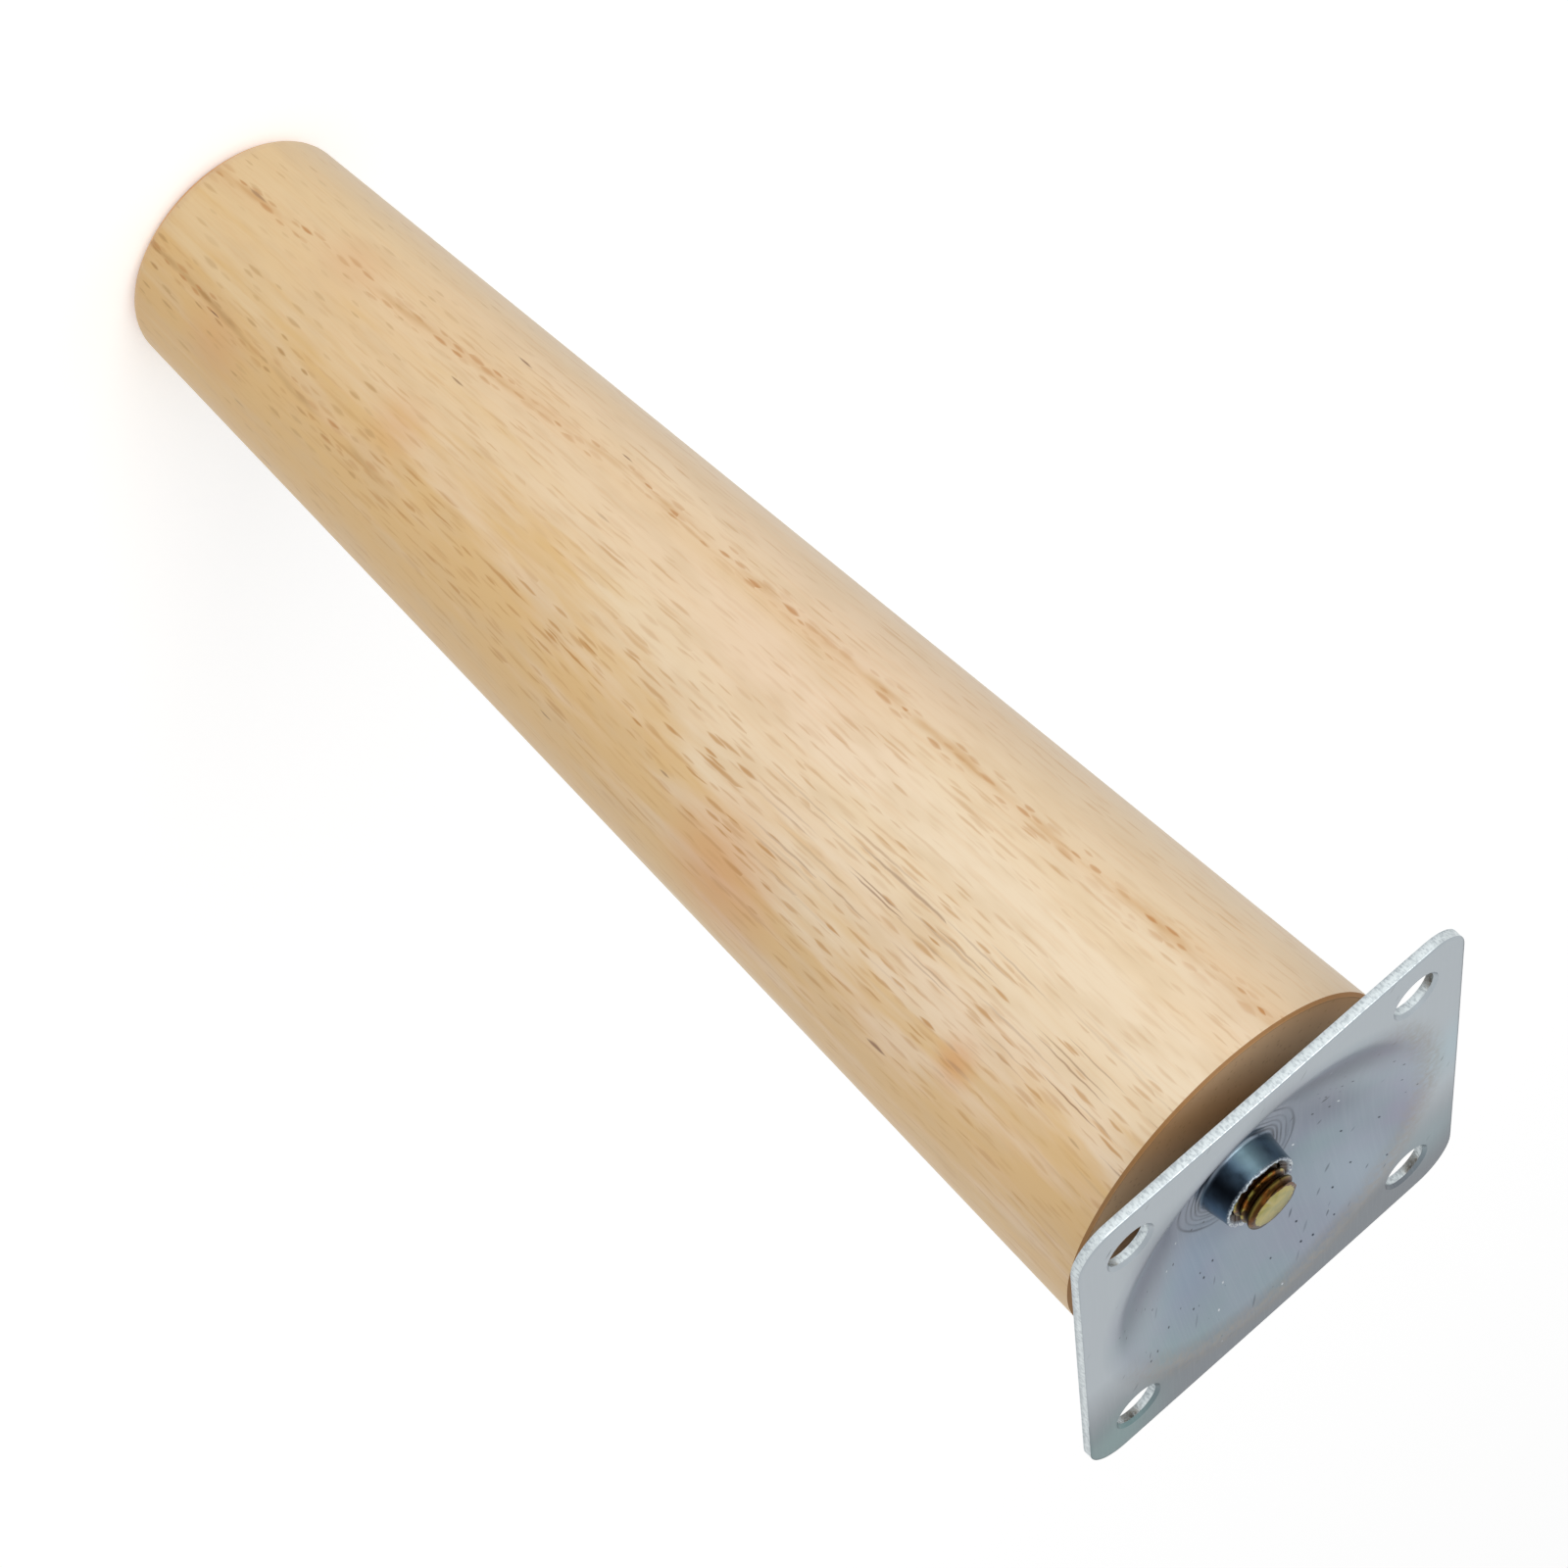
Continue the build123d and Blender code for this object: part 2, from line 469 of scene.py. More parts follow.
def threaded_form() -> Tree:
    """Geometry tree of a right-hand screw thread about Z with chamfered or pointed ends.

    Rows climb one pitch in each turn, so the grid follows the helix and its two sides meet.

    Returns:
        The tree, with the thread's sizes as inputs. It ignores the mesh that it starts from.
    """
    ends = ["Top Radius", "Top Slope", "Bottom Radius", "Bottom Slope"]
    ridge_sizes = ["Crest Share", "Root Share", "Crest Radius", "Root Radius"]
    tree, known = new_form(
        "threaded_form",
        {
            "Geometry": ["Base"],
            "Float": ["Top", "Bottom", "Pitch", *ridge_sizes, *ends],
            "Int": ["Segments", "Steps", "Rows"],
            "Material": ["Material"],
        },
    )
    grid, known["column"], known["row"] = lattice(tree, known["Segments"], known["Rows"])
    for name, operation, *terms in (
        ("around", "DIVIDE", "column", "Segments"),
        ("angle", "MULTIPLY", "around", math.tau),
        ("turns", "DIVIDE", "row", "Steps"),
        # Height: two spare turns under the bottom and as many above the top are pressed flat into the ends
        ("climb", "ADD", "around", "turns"),
        ("spare", "SUBTRACT", "climb", 2.0),
        ("free", "MULTIPLY_ADD", "spare", "Pitch", "Bottom"),
        ("above", "MAXIMUM", "free", "Bottom"),
        ("height", "MINIMUM", "above", "Top"),
        # A flat-topped ridge in each turn, from its crest at the middle of the turn to its root
        ("part", "FRACT", "turns"),
        ("middle", "SUBTRACT", "part", 0.5),
        ("away", "ABSOLUTE", "middle"),
        ("double", "MULTIPLY", "away", 2.0),
        ("flank end", "SUBTRACT", 1.0, "Root Share"),
        # The cones that cut the two ends back
        ("drop", "SUBTRACT", "Top", "height"),
        ("top cone", "MULTIPLY_ADD", "drop", "Top Slope", "Top Radius"),
        ("rise", "SUBTRACT", "height", "Bottom"),
        ("bottom cone", "MULTIPLY_ADD", "rise", "Bottom Slope", "Bottom Radius"),
        ("cones", "MINIMUM", "top cone", "bottom cone"),
        # The first and the last row meet on the axis
        ("last", "SUBTRACT", "Rows", 1.0),
        ("started", "GREATER_THAN", "row", 0.5),
        ("ended", "LESS_THAN", "row", "last"),
        ("inner", "MULTIPLY", "started", "ended"),
    ):
        known[name] = add(tree, MATH, [known.get(term, term) for term in terms], operation=operation)
    flank = ("double", "Crest Share", "flank end", "Crest Radius", "Root Radius")
    ridge = add(tree, RANGE, [known[name] for name in flank])
    cut = add(tree, MATH, [ridge, known["cones"]], operation="MINIMUM")
    radius = add(tree, MATH, [cut, known["inner"]], operation="MULTIPLY")
    arm = add(tree, "ShaderNodeCombineXYZ", {"X": radius, "Z": known["height"]})
    turn = {"Vector": arm, "Angle": known["angle"]}
    point = add(tree, "ShaderNodeVectorRotate", turn, rotation_type="Z_AXIS")
    body = add(tree, "GeometryNodeSetPosition", {"Geometry": grid, "Position": point})
    closed(tree, body, 10 * SHORTEST_M, known["Material"])
    return tree


def about_axis(tree: Tree) -> Sockets:
    """Where a point of the surface lies about the part's axis.

    Args:
        tree: The material's tree.

    Returns:
        Its Object coordinates as place, X, Y and Z, the same without height as flat, and its radius.
    """
    place = add(tree, "ShaderNodeTexCoord", output="Object")
    flat = add(tree, VECTOR, [place, (1.0, 1.0, 0.0)], operation="MULTIPLY")
    radius = add(tree, VECTOR, [flat], "Value", operation="LENGTH")
    axes = add(tree, AXES, [place]).node.outputs
    return {"place": place, "flat": flat, "radius": radius, "X": axes["X"], "Y": axes["Y"], "Z": axes["Z"]}


def add_fields(tree: Tree, at: Sockets, rows: list[tuple[str, str, tuple[float, ...], float]]) -> None:
    """Add fields of noise to what is known about a point.

    Args:
        tree: The material's tree.
        at: What is known about a point, which gets the fields.
        rows: Each field's name, its coordinates' name, its span in millimetres along each axis, its detail.
    """
    for name, source, spans, detail in rows:
        scaled = add(tree, VECTOR, [at[source], per_mm(*spans)], operation="MULTIPLY")
        at[name] = add(tree, "ShaderNodeTexNoise", {"Vector": scaled, "Scale": 1.0, "Detail": detail})


def band(tree: Tree, value: Socket, centre: float | Socket, reach: float) -> Socket:
    """Soft share that is 1 where a value meets a centre and 0 from a reach on either side of it."""
    away = add(tree, MATH, [value, centre], operation="SUBTRACT")
    size = add(tree, MATH, [away], operation="ABSOLUTE")
    return add(tree, RANGE, [size, reach, 0.0], interpolation_type="SMOOTHSTEP")


def spot(tree: Tree, surface: Socket, middle: Point, reach: float, most: float) -> Socket:
    """A soft round spot on a flat surface.

    Args:
        tree: The material's tree.
        surface: The flat surface in metres.
        middle: The spot's middle in millimetres.
        reach: The spot's radius in millimetres.
        most: How strongly its middle covers the surface.

    Returns:
        How strongly the spot covers the surface.
    """
    centre = (middle[0] * MM, middle[1] * MM, 0.0)
    away = add(tree, VECTOR, [surface, centre], "Value", operation="DISTANCE")
    return add(tree, RANGE, [away, reach * MM, 0.0, 0.0, most], interpolation_type="SMOOTHSTEP")


def dashes(tree: Tree, surface: Socket, cell: Point, size: Point, kept: float, shift: float) -> Socket:
    """Short dashes along a surface's second axis, strewn one to a cell.

    Args:
        tree: The material's tree.
        surface: The flat surface in metres.
        cell: The mean distance from dash to dash across and along their line.
        size: The half width and half length of a dash.
        kept: The share of the cells that hold a dash.
        shift: Where on the endless pattern this one starts, so that two of them differ.

    Returns:
        How strongly a dash covers the surface, from 0 to 1.
    """
    cells = add(tree, VECTOR, [surface, per_mm(*cell), (shift, shift, 0.0)], operation="MULTIPLY_ADD")
    pattern = {"Vector": cells, "Scale": 1.0}
    nearest = add(tree, "ShaderNodeTexVoronoi", pattern, voronoi_dimensions="2D").node.outputs
    offset = add(tree, VECTOR, [cells, nearest["Position"]], operation="SUBTRACT")
    chance = add(tree, "ShaderNodeSeparateColor", [nearest["Color"]]).node.outputs
    stretch = add(tree, RANGE, [chance["Blue"], 0.0, 1.0, *DASH_STRETCH])
    shape = (cell[0] / size[0], cell[1] / size[1], 0.0)
    scaled = add(tree, VECTOR, [offset, shape], operation="MULTIPLY")
    spread = add(tree, VECTOR, {0: scaled, "Scale": stretch}, operation="SCALE")
    sides = add(tree, AXES, [spread]).node.outputs
    across = add(tree, MATH, [sides["X"]], operation="ABSOLUTE")
    distance = add(tree, MATH, [sides["Y"], sides["Y"], across], operation="MULTIPLY_ADD")
    lens = add(tree, RANGE, [distance, 1.0, DASH_CORE], interpolation_type="SMOOTHSTEP")
    held = add(tree, MATH, [chance["Red"], kept], operation="LESS_THAN")
    weight = add(tree, MATH, [chance["Green"], 2.0], operation="POWER")
    depth = add(tree, RANGE, [weight, 0.0, 1.0, *DASH_STRENGTH])
    strength = add(tree, MATH, [held, depth], operation="MULTIPLY")
    return add(tree, MATH, [lens, strength], operation="MULTIPLY")


def layered(tree: Tree, base: str, layers: list[tuple[Socket, str]]) -> Socket:
    """Lay tones over a base, each as far as its cover goes.

    Args:
        tree: The material's tree.
        base: The lowest tone.
        layers: Each further layer's cover and tone, from the lowest up.

    Returns:
        The resulting colour.
    """
    tone = linear(base)
    for cover, colour in layers:
        mixed = {MIX_FACTOR: cover, MIX_A: tone, MIX_B: linear(colour)}
        tone = add(tree, MIX, mixed, MIX_COLOUR, data_type="RGBA")
    return tone


def looked_at(tree: Tree) -> Socket:
    """Share that is 1 where a surface is seen, mirrored or not, and 0 where it only gives light."""
    path = add(tree, "ShaderNodeLightPath").node.outputs
    seen = path["Is Camera Ray"]
    for kind in ("Is Glossy Ray", "Is Transmission Ray"):
        seen = add(tree, MATH, [seen, path[kind]], operation="MAXIMUM")
    return seen


@dataclass(frozen=True)
class Finish:
    """A finish, which is a material of one shader."""

    name: str

    def shader(self, tree: Tree) -> Socket:
        """Add the finish's nodes to its tree and return its shader."""
        raise NotImplementedError

    def material(self) -> bpy.types.Material:
        """Make the finish's material.

        Returns:
            The material, with the finish's shader as its surface.
        """
        material = bpy.data.materials.new(self.name)
        material.use_nodes = True
        material.node_tree.nodes.clear()
        shader = self.shader(material.node_tree)
        add(material.node_tree, "ShaderNodeOutputMaterial", {"Surface": shader})
        return material


@dataclass(frozen=True)
class Rubberwood(Finish):
    """Rubberwood, turned, sanded and sealed with a thin satin coat."""

    name: str = "rubberwood_satin"
    pale: str = "#ECD7B8"
    rosy: str = "#EACFB1"
    straw: str = "#E0C18D"
    beige: str = "#D6B990"
    tan: str = "#DCB577"
    # Greyer tone on the +X side: partly the wood's tone, partly painted shade and sheen
    grey: str = "#C6B296"
    warm: str = "#DCAE79"
    amber: str = "#D89C62"
    pore: str = "#BA8440"
    fleck: str = "#BC803F"
    blot: str = "#B2864B"
    seam: str = "#C99A60"
    brown: str = "#7E4C2E"
    dark_pore: str = "#7A4B2C"
    coat_roughness: float = 0.42
    pore_depth: float = 0.06
    # How far the grain wanders across and along: its span, and how far it goes
    sways: tuple[tuple[Point, Point], ...] = (((26, 75), (4.0, 0.0)), ((0.9, 2.6), (0.3, 1.0)))
    # Warm patches on the unrolled surface, the first about a knot: middle, reach and strength
    patches: tuple[tuple[Point, float, float], ...] = (
        ((83.5, -33.5), 4.5, 0.6),
        ((87.5, -75.0), 14.0, 0.6),
        ((85.0, -181.0), 9.0, 0.35),
        ((74.0, -149.0), 7.0, 0.3),
        ((60.0, -172.0), 8.0, 0.25),
    )

    def surface(self, tree: Tree) -> Sockets:
        """Settle where a point lies on the leg and on its grain.

        Args:
            tree: The material's tree.

        Returns:
            What is known about a point: coordinates, grain, the side that it faces and fields of noise.
        """
        at = about_axis(tree)
        at["unrolled"] = at["grain"] = add(tree, "ShaderNodeUVMap", uv_map=GRAIN_MAP)
        # The grain wanders slowly from the leg's own line, and every fibre is a little uneven
        for spans, sway in self.sways:
            add_fields(tree, at, [("drift", "unrolled", spans, 1.0)])
            terms = [at["drift"].node.outputs["Color"], (sway[0] * MM, sway[1] * MM, 0.0), at["grain"]]
            at["grain"] = add(tree, VECTOR, terms, operation="MULTIPLY_ADD")
        at["across"] = add(tree, AXES, [at["grain"]], "X")
        at["facing"] = add(tree, MATH, [at["X"], at["radius"]], operation="DIVIDE")
        rows = [
            ("broad", "place", (24, 24, 70), 2.0),
            ("mottle", "grain", (3.5, 11), 2.0),
            ("band", "grain", (5.5, 110), 3.0),
            ("fibre", "grain", (0.5, 14), 4.0),
            ("dense", "grain", (7, 40), 2.0),
            ("flame", "grain", (3.0, 26), 3.0),
        ]
        add_fields(tree, at, rows)
        return at

    def tones(self, tree: Tree, at: Sockets) -> Sockets:
        """Share out the wood's tones and the places where its marks may show.

        Args:
            tree: The material's tree.
            at: What is known about a point.

        Returns:
            Each share by name.
        """
        share = {}
        for name, source, low, high, least, most in (
            ("rosy", "broad", 0.42, 0.62, 0.0, 1.0),
            ("mottle", "mottle", 0.46, 0.7, 0.0, 0.4),
            ("straw", "Z", -70 * MM, -195 * MM, 0.0, 0.75),
            ("band", "band", 0.46, 0.72, 0.0, 0.3),
            ("fibre", "fibre", 0.5, 0.8, 0.0, 0.3),
            ("dense", "dense", 0.36, 0.56, 0.3, 1.0),
            ("porous", "Z", -185 * MM, -130 * MM, 0.25, 1.0),
            ("upper", "Z", -80 * MM, -62 * MM, 0.0, 1.0),
            ("lower", "Z", -140 * MM, -155 * MM, 0.0, 1.0),
            ("flame", "flame", 0.4, 0.68, 0.0, 0.3),
            ("broken", "mottle", 0.4, 0.62, 0.05, 0.6),
            # The +X side turns greyer: partly the wood's tone, partly painted shade and sheen
            ("grey", "facing", 0.46, 0.88, 0.0, 0.6),
            ("right", "X", 2 * MM, 13 * MM, 0.0, 0.55),
            ("above", "Z", -120 * MM, -60 * MM, 0.0, 1.0),
            ("turn", "Z", -122 * MM, -78 * MM, 0.0, 10.0 * MM),
            ("feather", "flame", 0.3, 0.7, -8.0 * MM, 8.0 * MM),
            # Two rows of flecks run down the leg and drift across it
            ("row path", "Z", -120 * MM, -195 * MM, 56.5 * MM, 63.5 * MM),
            ("far path", "Z", -150 * MM, -186 * MM, 81.3 * MM, 79.9 * MM),
        ):
            share[name] = add(tree, RANGE, [at[source], low, high, least, most])

        # The tan side ends in feathers along the grain and starts further round near the plate
        edge = add(tree, MATH, [share["turn"], share["feather"]], operation="ADD")
        inward = add(tree, MATH, [at["X"], edge], operation="ADD")
        reach = [inward, -1.0 * MM, -16 * MM, 0.0, 0.85]
        sideward = add(tree, RANGE, reach, interpolation_type="SMOOTHSTEP")
        share["tan"] = add(tree, MATH, [sideward, share["band"]], operation="MAXIMUM")

        # Rows, dark lines and the side where the pores crowd
        for name, centre, reach in (
            ("row", share["row path"], 2.8),
            ("seam", share["row path"], 1.1),
            ("far_row", share["far path"], 3.0),
            ("far_seam", share["far path"], 0.9),
            ("lines", 76.5 * MM, 9.0),
            ("crowd", 80.0 * MM, 14.0),
        ):
            share[name] = band(tree, at["across"], centre, reach * MM)
        share["crowd"] = add(tree, RANGE, [share["crowd"], 0.0, 1.0, 0.42, 0.95])
        return share

    def add_marks(self, tree: Tree, at: Sockets, share: Sockets) -> None:
        """Strew pores, flecks and lines, and keep them to their places.

        Args:
            tree: The material's tree.
            at: What is known about a point.
            share: The shares by name, which get the marks.
        """
        for name, cell, size, kept, shift in (
            ("pores", (1.5, 5.6), (0.38, 2.4), 0.9, 0.0),
            ("fine", (1.0, 6.0), (0.25, 2.8), 0.65, 31.7),
            ("long", (2.3, 14.0), (0.3, 6.0), 0.6, 93.7),
            ("dark", (9.0, 20.0), (0.35, 2.0), 0.25, 73.1),
            ("flecks", (1.2, 3.0), (0.47, 1.6), 0.75, 11.3),
            ("blots", (2.2, 5.0), (0.44, 1.6), 0.7, 63.1),
            ("streaks", (1.2, 17.0), (0.22, 9.0), 0.9, 47.9),
            ("knot", (0.75, 5.0), (0.3, 3.0), 0.9, 21.1),
        ):
            share[name] = dashes(tree, at["grain"], cell, size, kept, shift)
        share["knotted"] = spot(tree, at["grain"], *self.patches[0])
        for name, operation, first, second in (
            ("open", "MULTIPLY", "dense", "porous"),
            ("open", "MULTIPLY", "open", "crowd"),
            ("pores", "MULTIPLY", "pores", "open"),
            ("fine", "MULTIPLY", "fine", "open"),
            ("long", "MULTIPLY", "long", "open"),
            ("far_row", "MULTIPLY", "far_row", "lower"),
            ("far_seam", "MULTIPLY", "far_seam", "lower"),
            ("far_seam", "MULTIPLY", "far_seam", "broken"),
            ("seam", "MULTIPLY", "seam", "broken"),
            ("blots", "MULTIPLY", "blots", "lower"),
            ("blots", "MULTIPLY", "blots", "crowd"),
            ("lines", "MULTIPLY", "lines", "upper"),
            ("streaks", "MULTIPLY", "streaks", "lines"),
            ("right", "MULTIPLY", "right", "above"),
            ("knot", "MULTIPLY", "knot", "knotted"),
            ("rows", "MAXIMUM", "row", "far_row"),
            ("flecks", "MULTIPLY", "flecks", "rows"),
            ("flame", "MULTIPLY", "flame", "rows"),
            ("hollow", "MAXIMUM", "pores", "streaks"),
        ):
            share[name] = add(tree, MATH, [share[first], share[second]], operation=operation)

    def shader(self, tree: Tree) -> Socket:
        """Dress the turned side, on the piece's grain map and Object coordinates.

        Args:
            tree: The material's tree.

        Returns:
            The finish's shader.
        """
        # Sanded rubberwood is pale cream to straw. Its large open pores are cut along the grain and show as
        # short brown dashes, denser in the bands where growth layers meet the surface. The coat is satin.
        at = self.surface(tree)
        share = self.tones(tree, at)
        self.add_marks(tree, at, share)
        under = (
            ("rosy", self.rosy),
            ("straw", self.straw),
            ("right", self.beige),
            ("tan", self.tan),
            ("mottle", self.beige),
            # Greyer +X side: partly the wood's tone, partly painted shade and sheen
            ("grey", self.grey),
            ("fibre", self.warm),
            ("flame", self.warm),
        )
        over = (
            ("seam", self.seam),
            ("far_seam", self.blot),
            ("fine", self.pore),
            ("long", self.pore),
            ("pores", self.pore),
            ("blots", self.blot),
            ("flecks", self.fleck),
            ("streaks", self.brown),
            ("knot", self.brown),
            ("dark", self.dark_pore),
        )
        layers = [(share[name], colour) for name, colour in under]
        layers += [(spot(tree, at["grain"], *patch), self.amber) for patch in self.patches]
        layers += [(share[name], colour) for name, colour in over]
        tone = layered(tree, self.pale, layers)
        relief = {"Height": share["hollow"], "Strength": 0.2, "Distance": self.pore_depth * MM}
        bump = add(tree, BUMP, relief, invert=True)
        return add(tree, PRINCIPLED, {"Base Color": tone, "Roughness": self.coat_roughness, "Normal": bump})


@dataclass(frozen=True)
class RubberwoodEndGrain(Finish):
    """Rubberwood sawn across the grain, at the leg's two ends."""

    name: str = "rubberwood_end_grain"
    light: str = "#EDC497"
    dark: str = "#DDAA76"
    pore: str = "#B98452"
    edge: str = "#A06E38"
    roughness: float = 0.65
    heart: Point = (38, 21)
    ring_width: float = 3.2
    pore_spacing: float = 1.1
    pore_depth: float = 0.05
    edge_radii: Point = (25.3, 25.7)

    def shader(self, tree: Tree) -> Socket:
        """Dress the two sawn ends, on Object coordinates.

        Args:
            tree: The material's tree.

        Returns:
            The finish's shader.
        """
        # Cut across, the same wood drinks in its coat and turns browner and duller: growth rings show as
        # arcs about a heart that lies beside the leg, and the pores as dark dots.
        at = about_axis(tree)
        beside = (self.heart[0] * MM, self.heart[1] * MM, 0.0)
        shifted = add(tree, "ShaderNodeMapping", {"Vector": at["place"], "Location": beside})
        flat = add(tree, VECTOR, [shifted, (1.0, 1.0, 0.0)], operation="MULTIPLY")
        # A wave's own unit is a twentieth of its scale
        wave = {"Vector": flat, "Scale": 1 / (20 * self.ring_width * MM)}
        wave |= {"Distortion": 2.5, "Detail": 2.0, "Detail Scale": 0.6}
        ring = add(tree, "ShaderNodeTexWave", wave, "Fac", wave_type="RINGS", rings_direction="Z")
        cells = {"Vector": at["place"], "Scale": 1 / (self.pore_spacing * MM)}
        dots = add(tree, "ShaderNodeTexVoronoi", cells)
        dot = add(tree, RANGE, [dots, 0.26, 0.1, 0.0, 0.4])
        inner, outer = self.edge_radii
        arris = add(tree, RANGE, [at["radius"], inner * MM, outer * MM, 0.0, 0.85])
        tone = layered(tree, self.light, [(ring, self.dark), (dot, self.pore), (arris, self.edge)])
        relief = {"Height": dot, "Strength": 0.2, "Distance": self.pore_depth * MM}
        bump = add(tree, BUMP, relief, invert=True)
        return add(tree, PRINCIPLED, {"Base Color": tone, "Roughness": self.roughness, "Normal": bump})


@dataclass(frozen=True)
class BlueZinc(Finish):
    """Pressed sheet steel with blue-white zinc plating."""

    name: str = "blue_zinc_plating"
    blue: str = "#8F99A4"
    lavender: str = "#9092A1"
    teal: str = "#84999D"
    flat: str = "#A9B1B6"
    dull: str = "#5F656C"
    # Painted shade on the dish's floor, everywhere but towards +Y
    floor: str = "#76808D"
    scuffed: str = "#A09A91"
    slate: str = "#5F7383"
    deep_slate: str = "#36434F"
    rim: str = "#C3CACC"
    # Painted shade in the bore under the collar's rim
    painted_bore_shade: str = "#3A2A1E"
    # Dark tone of the fine rings and of the painted shadow at the collar's foot
    line: str = "#343B45"
    speck: str = "#3F464E"
    bright: str = "#C4CBD0"
    speck_spacing: float = 1.5
    pit_depth: float = 0.03
    scratch_turn: float = 0.65
    # Clouds on the plate, partly tints in the passivation and partly painted reflections, light and shade on
    # the dish: middle, reach, tone and strength
    tint_clouds_and_painted_light: tuple[Cloud, ...] = (
        # Painted reflections: darker dish walls towards +X+Y, -X and -X+Y, and darker under the mouth
        # towards +Y
        ((11.5, 11.5), 12.0, "#6C6974", 0.6),
        ((-15.5, 1.0), 12.0, "#636775", 0.6),
        ((-16.0, 16.0), 10.0, "#626974", 0.6),
        ((0.0, 24.0), 8.0, "#7A7F86", 0.6),
        # Painted light: a lighter dish floor towards +Y and a lighter wall towards +X-Y
        ((1.5, 13.5), 8.0, "#9FA3A7", 0.9),
        ((16.0, -15.0), 9.0, "#9BA6B1", 0.7),
        ((-27.0, -27.0), 13.0, "#728E8E", 0.8),
        # Painted shade on the dish towards +X
        ((14.0, 0.0), 7.0, "#747A86", 0.8),
        ((-10.0, -11.0), 10.0, "#7C90A2", 0.6),
        # Painted shadow at the collar's foot
        ((-3.5, 6.0), 4.0, "#63666E", 0.7),
        ((30.0, 1.0), 11.0, "#A0B4BC", 0.7),
        ((27.0, -20.0), 9.0, "#8AA0A6", 0.5),
    )
    # Bright and dark strokes on the collar's side: painted reflections, with some smudges
    reflection_and_smudge_strokes: tuple[Cloud, ...] = (
        ((-4.2, 4.0), 3.6, "#121518", 0.95),
        ((0.8, 5.7), 2.9, "#9DBBC2", 0.8),
        ((4.7, 3.3), 2.6, "#6F8C97", 0.65),
        ((-5.8, 0.4), 2.6, "#6C89A2", 0.7),
    )
    # Fine rings on the dish's floor, which drawing leaves, of which the two innermost dark lines are painted
    # shadow at the collar's foot: radius, half width and strength
    rings: tuple[Triple, ...] = (
        (6.55, 0.35, 1.0),
        (7.1, 0.3, 0.9),
        (7.75, 0.24, 0.75),
        (8.5, 0.22, 0.6),
        (9.6, 0.35, 0.95),
    )
    ring_wander: float = 2.4

    def shares(self, tree: Tree, at: Sockets) -> Sockets:
        """Share out the plating's tones.

        Args:
            tree: The material's tree.
            at: What is known about a point.

        Returns:
            Each share by name.
        """
        share = {}
        for name, source, low, high, most in (
            ("lavender", "Red", 0.42, 0.62, 0.9),
            ("teal", "Green", 0.5, 0.68, 0.7),
            ("flange", "radius", 25.0 * MM, 28.5 * MM, 0.9),
            ("outer", "radius", 23.4 * MM, 27.2 * MM, 0.9),
            ("far", "Y", -7 * MM, -22 * MM, 0.95),
            ("behind", "Y", 9 * MM, 4 * MM, 0.8),
            ("inside", "radius", 28 * MM, 23 * MM, 1.0),
            ("rubbed", "slant", -9 * MM, 3 * MM, 0.6),
            # A thin dark line along the +X edge
            ("dark_edge_line", "X", 30.6 * MM, 30.85 * MM, 0.8),
            ("rub", "rub", 0.3, 0.68, 1.0),
            ("mottle", "mottle", 0.4, 0.66, 0.75),
            ("brush", "brush", 0.45, 0.75, 0.05),
            ("collar", "radius", 7.0 * MM, 6.3 * MM, 1.0),
            ("over_floor", "Z", -6.5 * MM, -5.8 * MM, 1.0),
            ("under_rim", "Z", -2.4 * MM, -2.75 * MM, 1.0),
            ("rim", "Z", -2.75 * MM, -2.45 * MM, 0.8),
            ("bore", "radius", 5.12 * MM, 4.95 * MM, 1.0),
            ("speckle", "grit", 0.42, 0.6, 1.0),
            ("arcs", "cluster", 0.3, 0.6, 1.0),
            ("luck", "cluster", 0.38, 0.62, 0.8),
        ):
            share[name] = add(tree, RANGE, [at[source], low, high, 0.0, most])
        # The dish's floor is darker except towards +Y: painted shade
        share["floor"] = band(tree, at["radius"], 8.3 * MM, 6.5 * MM)
        share["mouth"] = band(tree, at["radius"], 26.3 * MM, 3.6 * MM)
        for name, first, second in (
            ("far", "outer", "far"),
            ("floor", "floor", "behind"),
            ("scuff", "mouth", "rubbed"),
            ("scuff", "scuff", "rub"),
            ("drawn", "collar", "over_floor"),
            ("side", "drawn", "under_rim"),
            ("mottled", "side", "mottle"),
            ("edge", "collar", "rim"),
            ("edge", "edge", "speckle"),
            ("hollow", "bore", "under_rim"),
            ("luck", "luck", "inside"),
        ):
            share[name] = add(tree, MATH, [share[first], share[second]], operation="MULTIPLY")
        return share

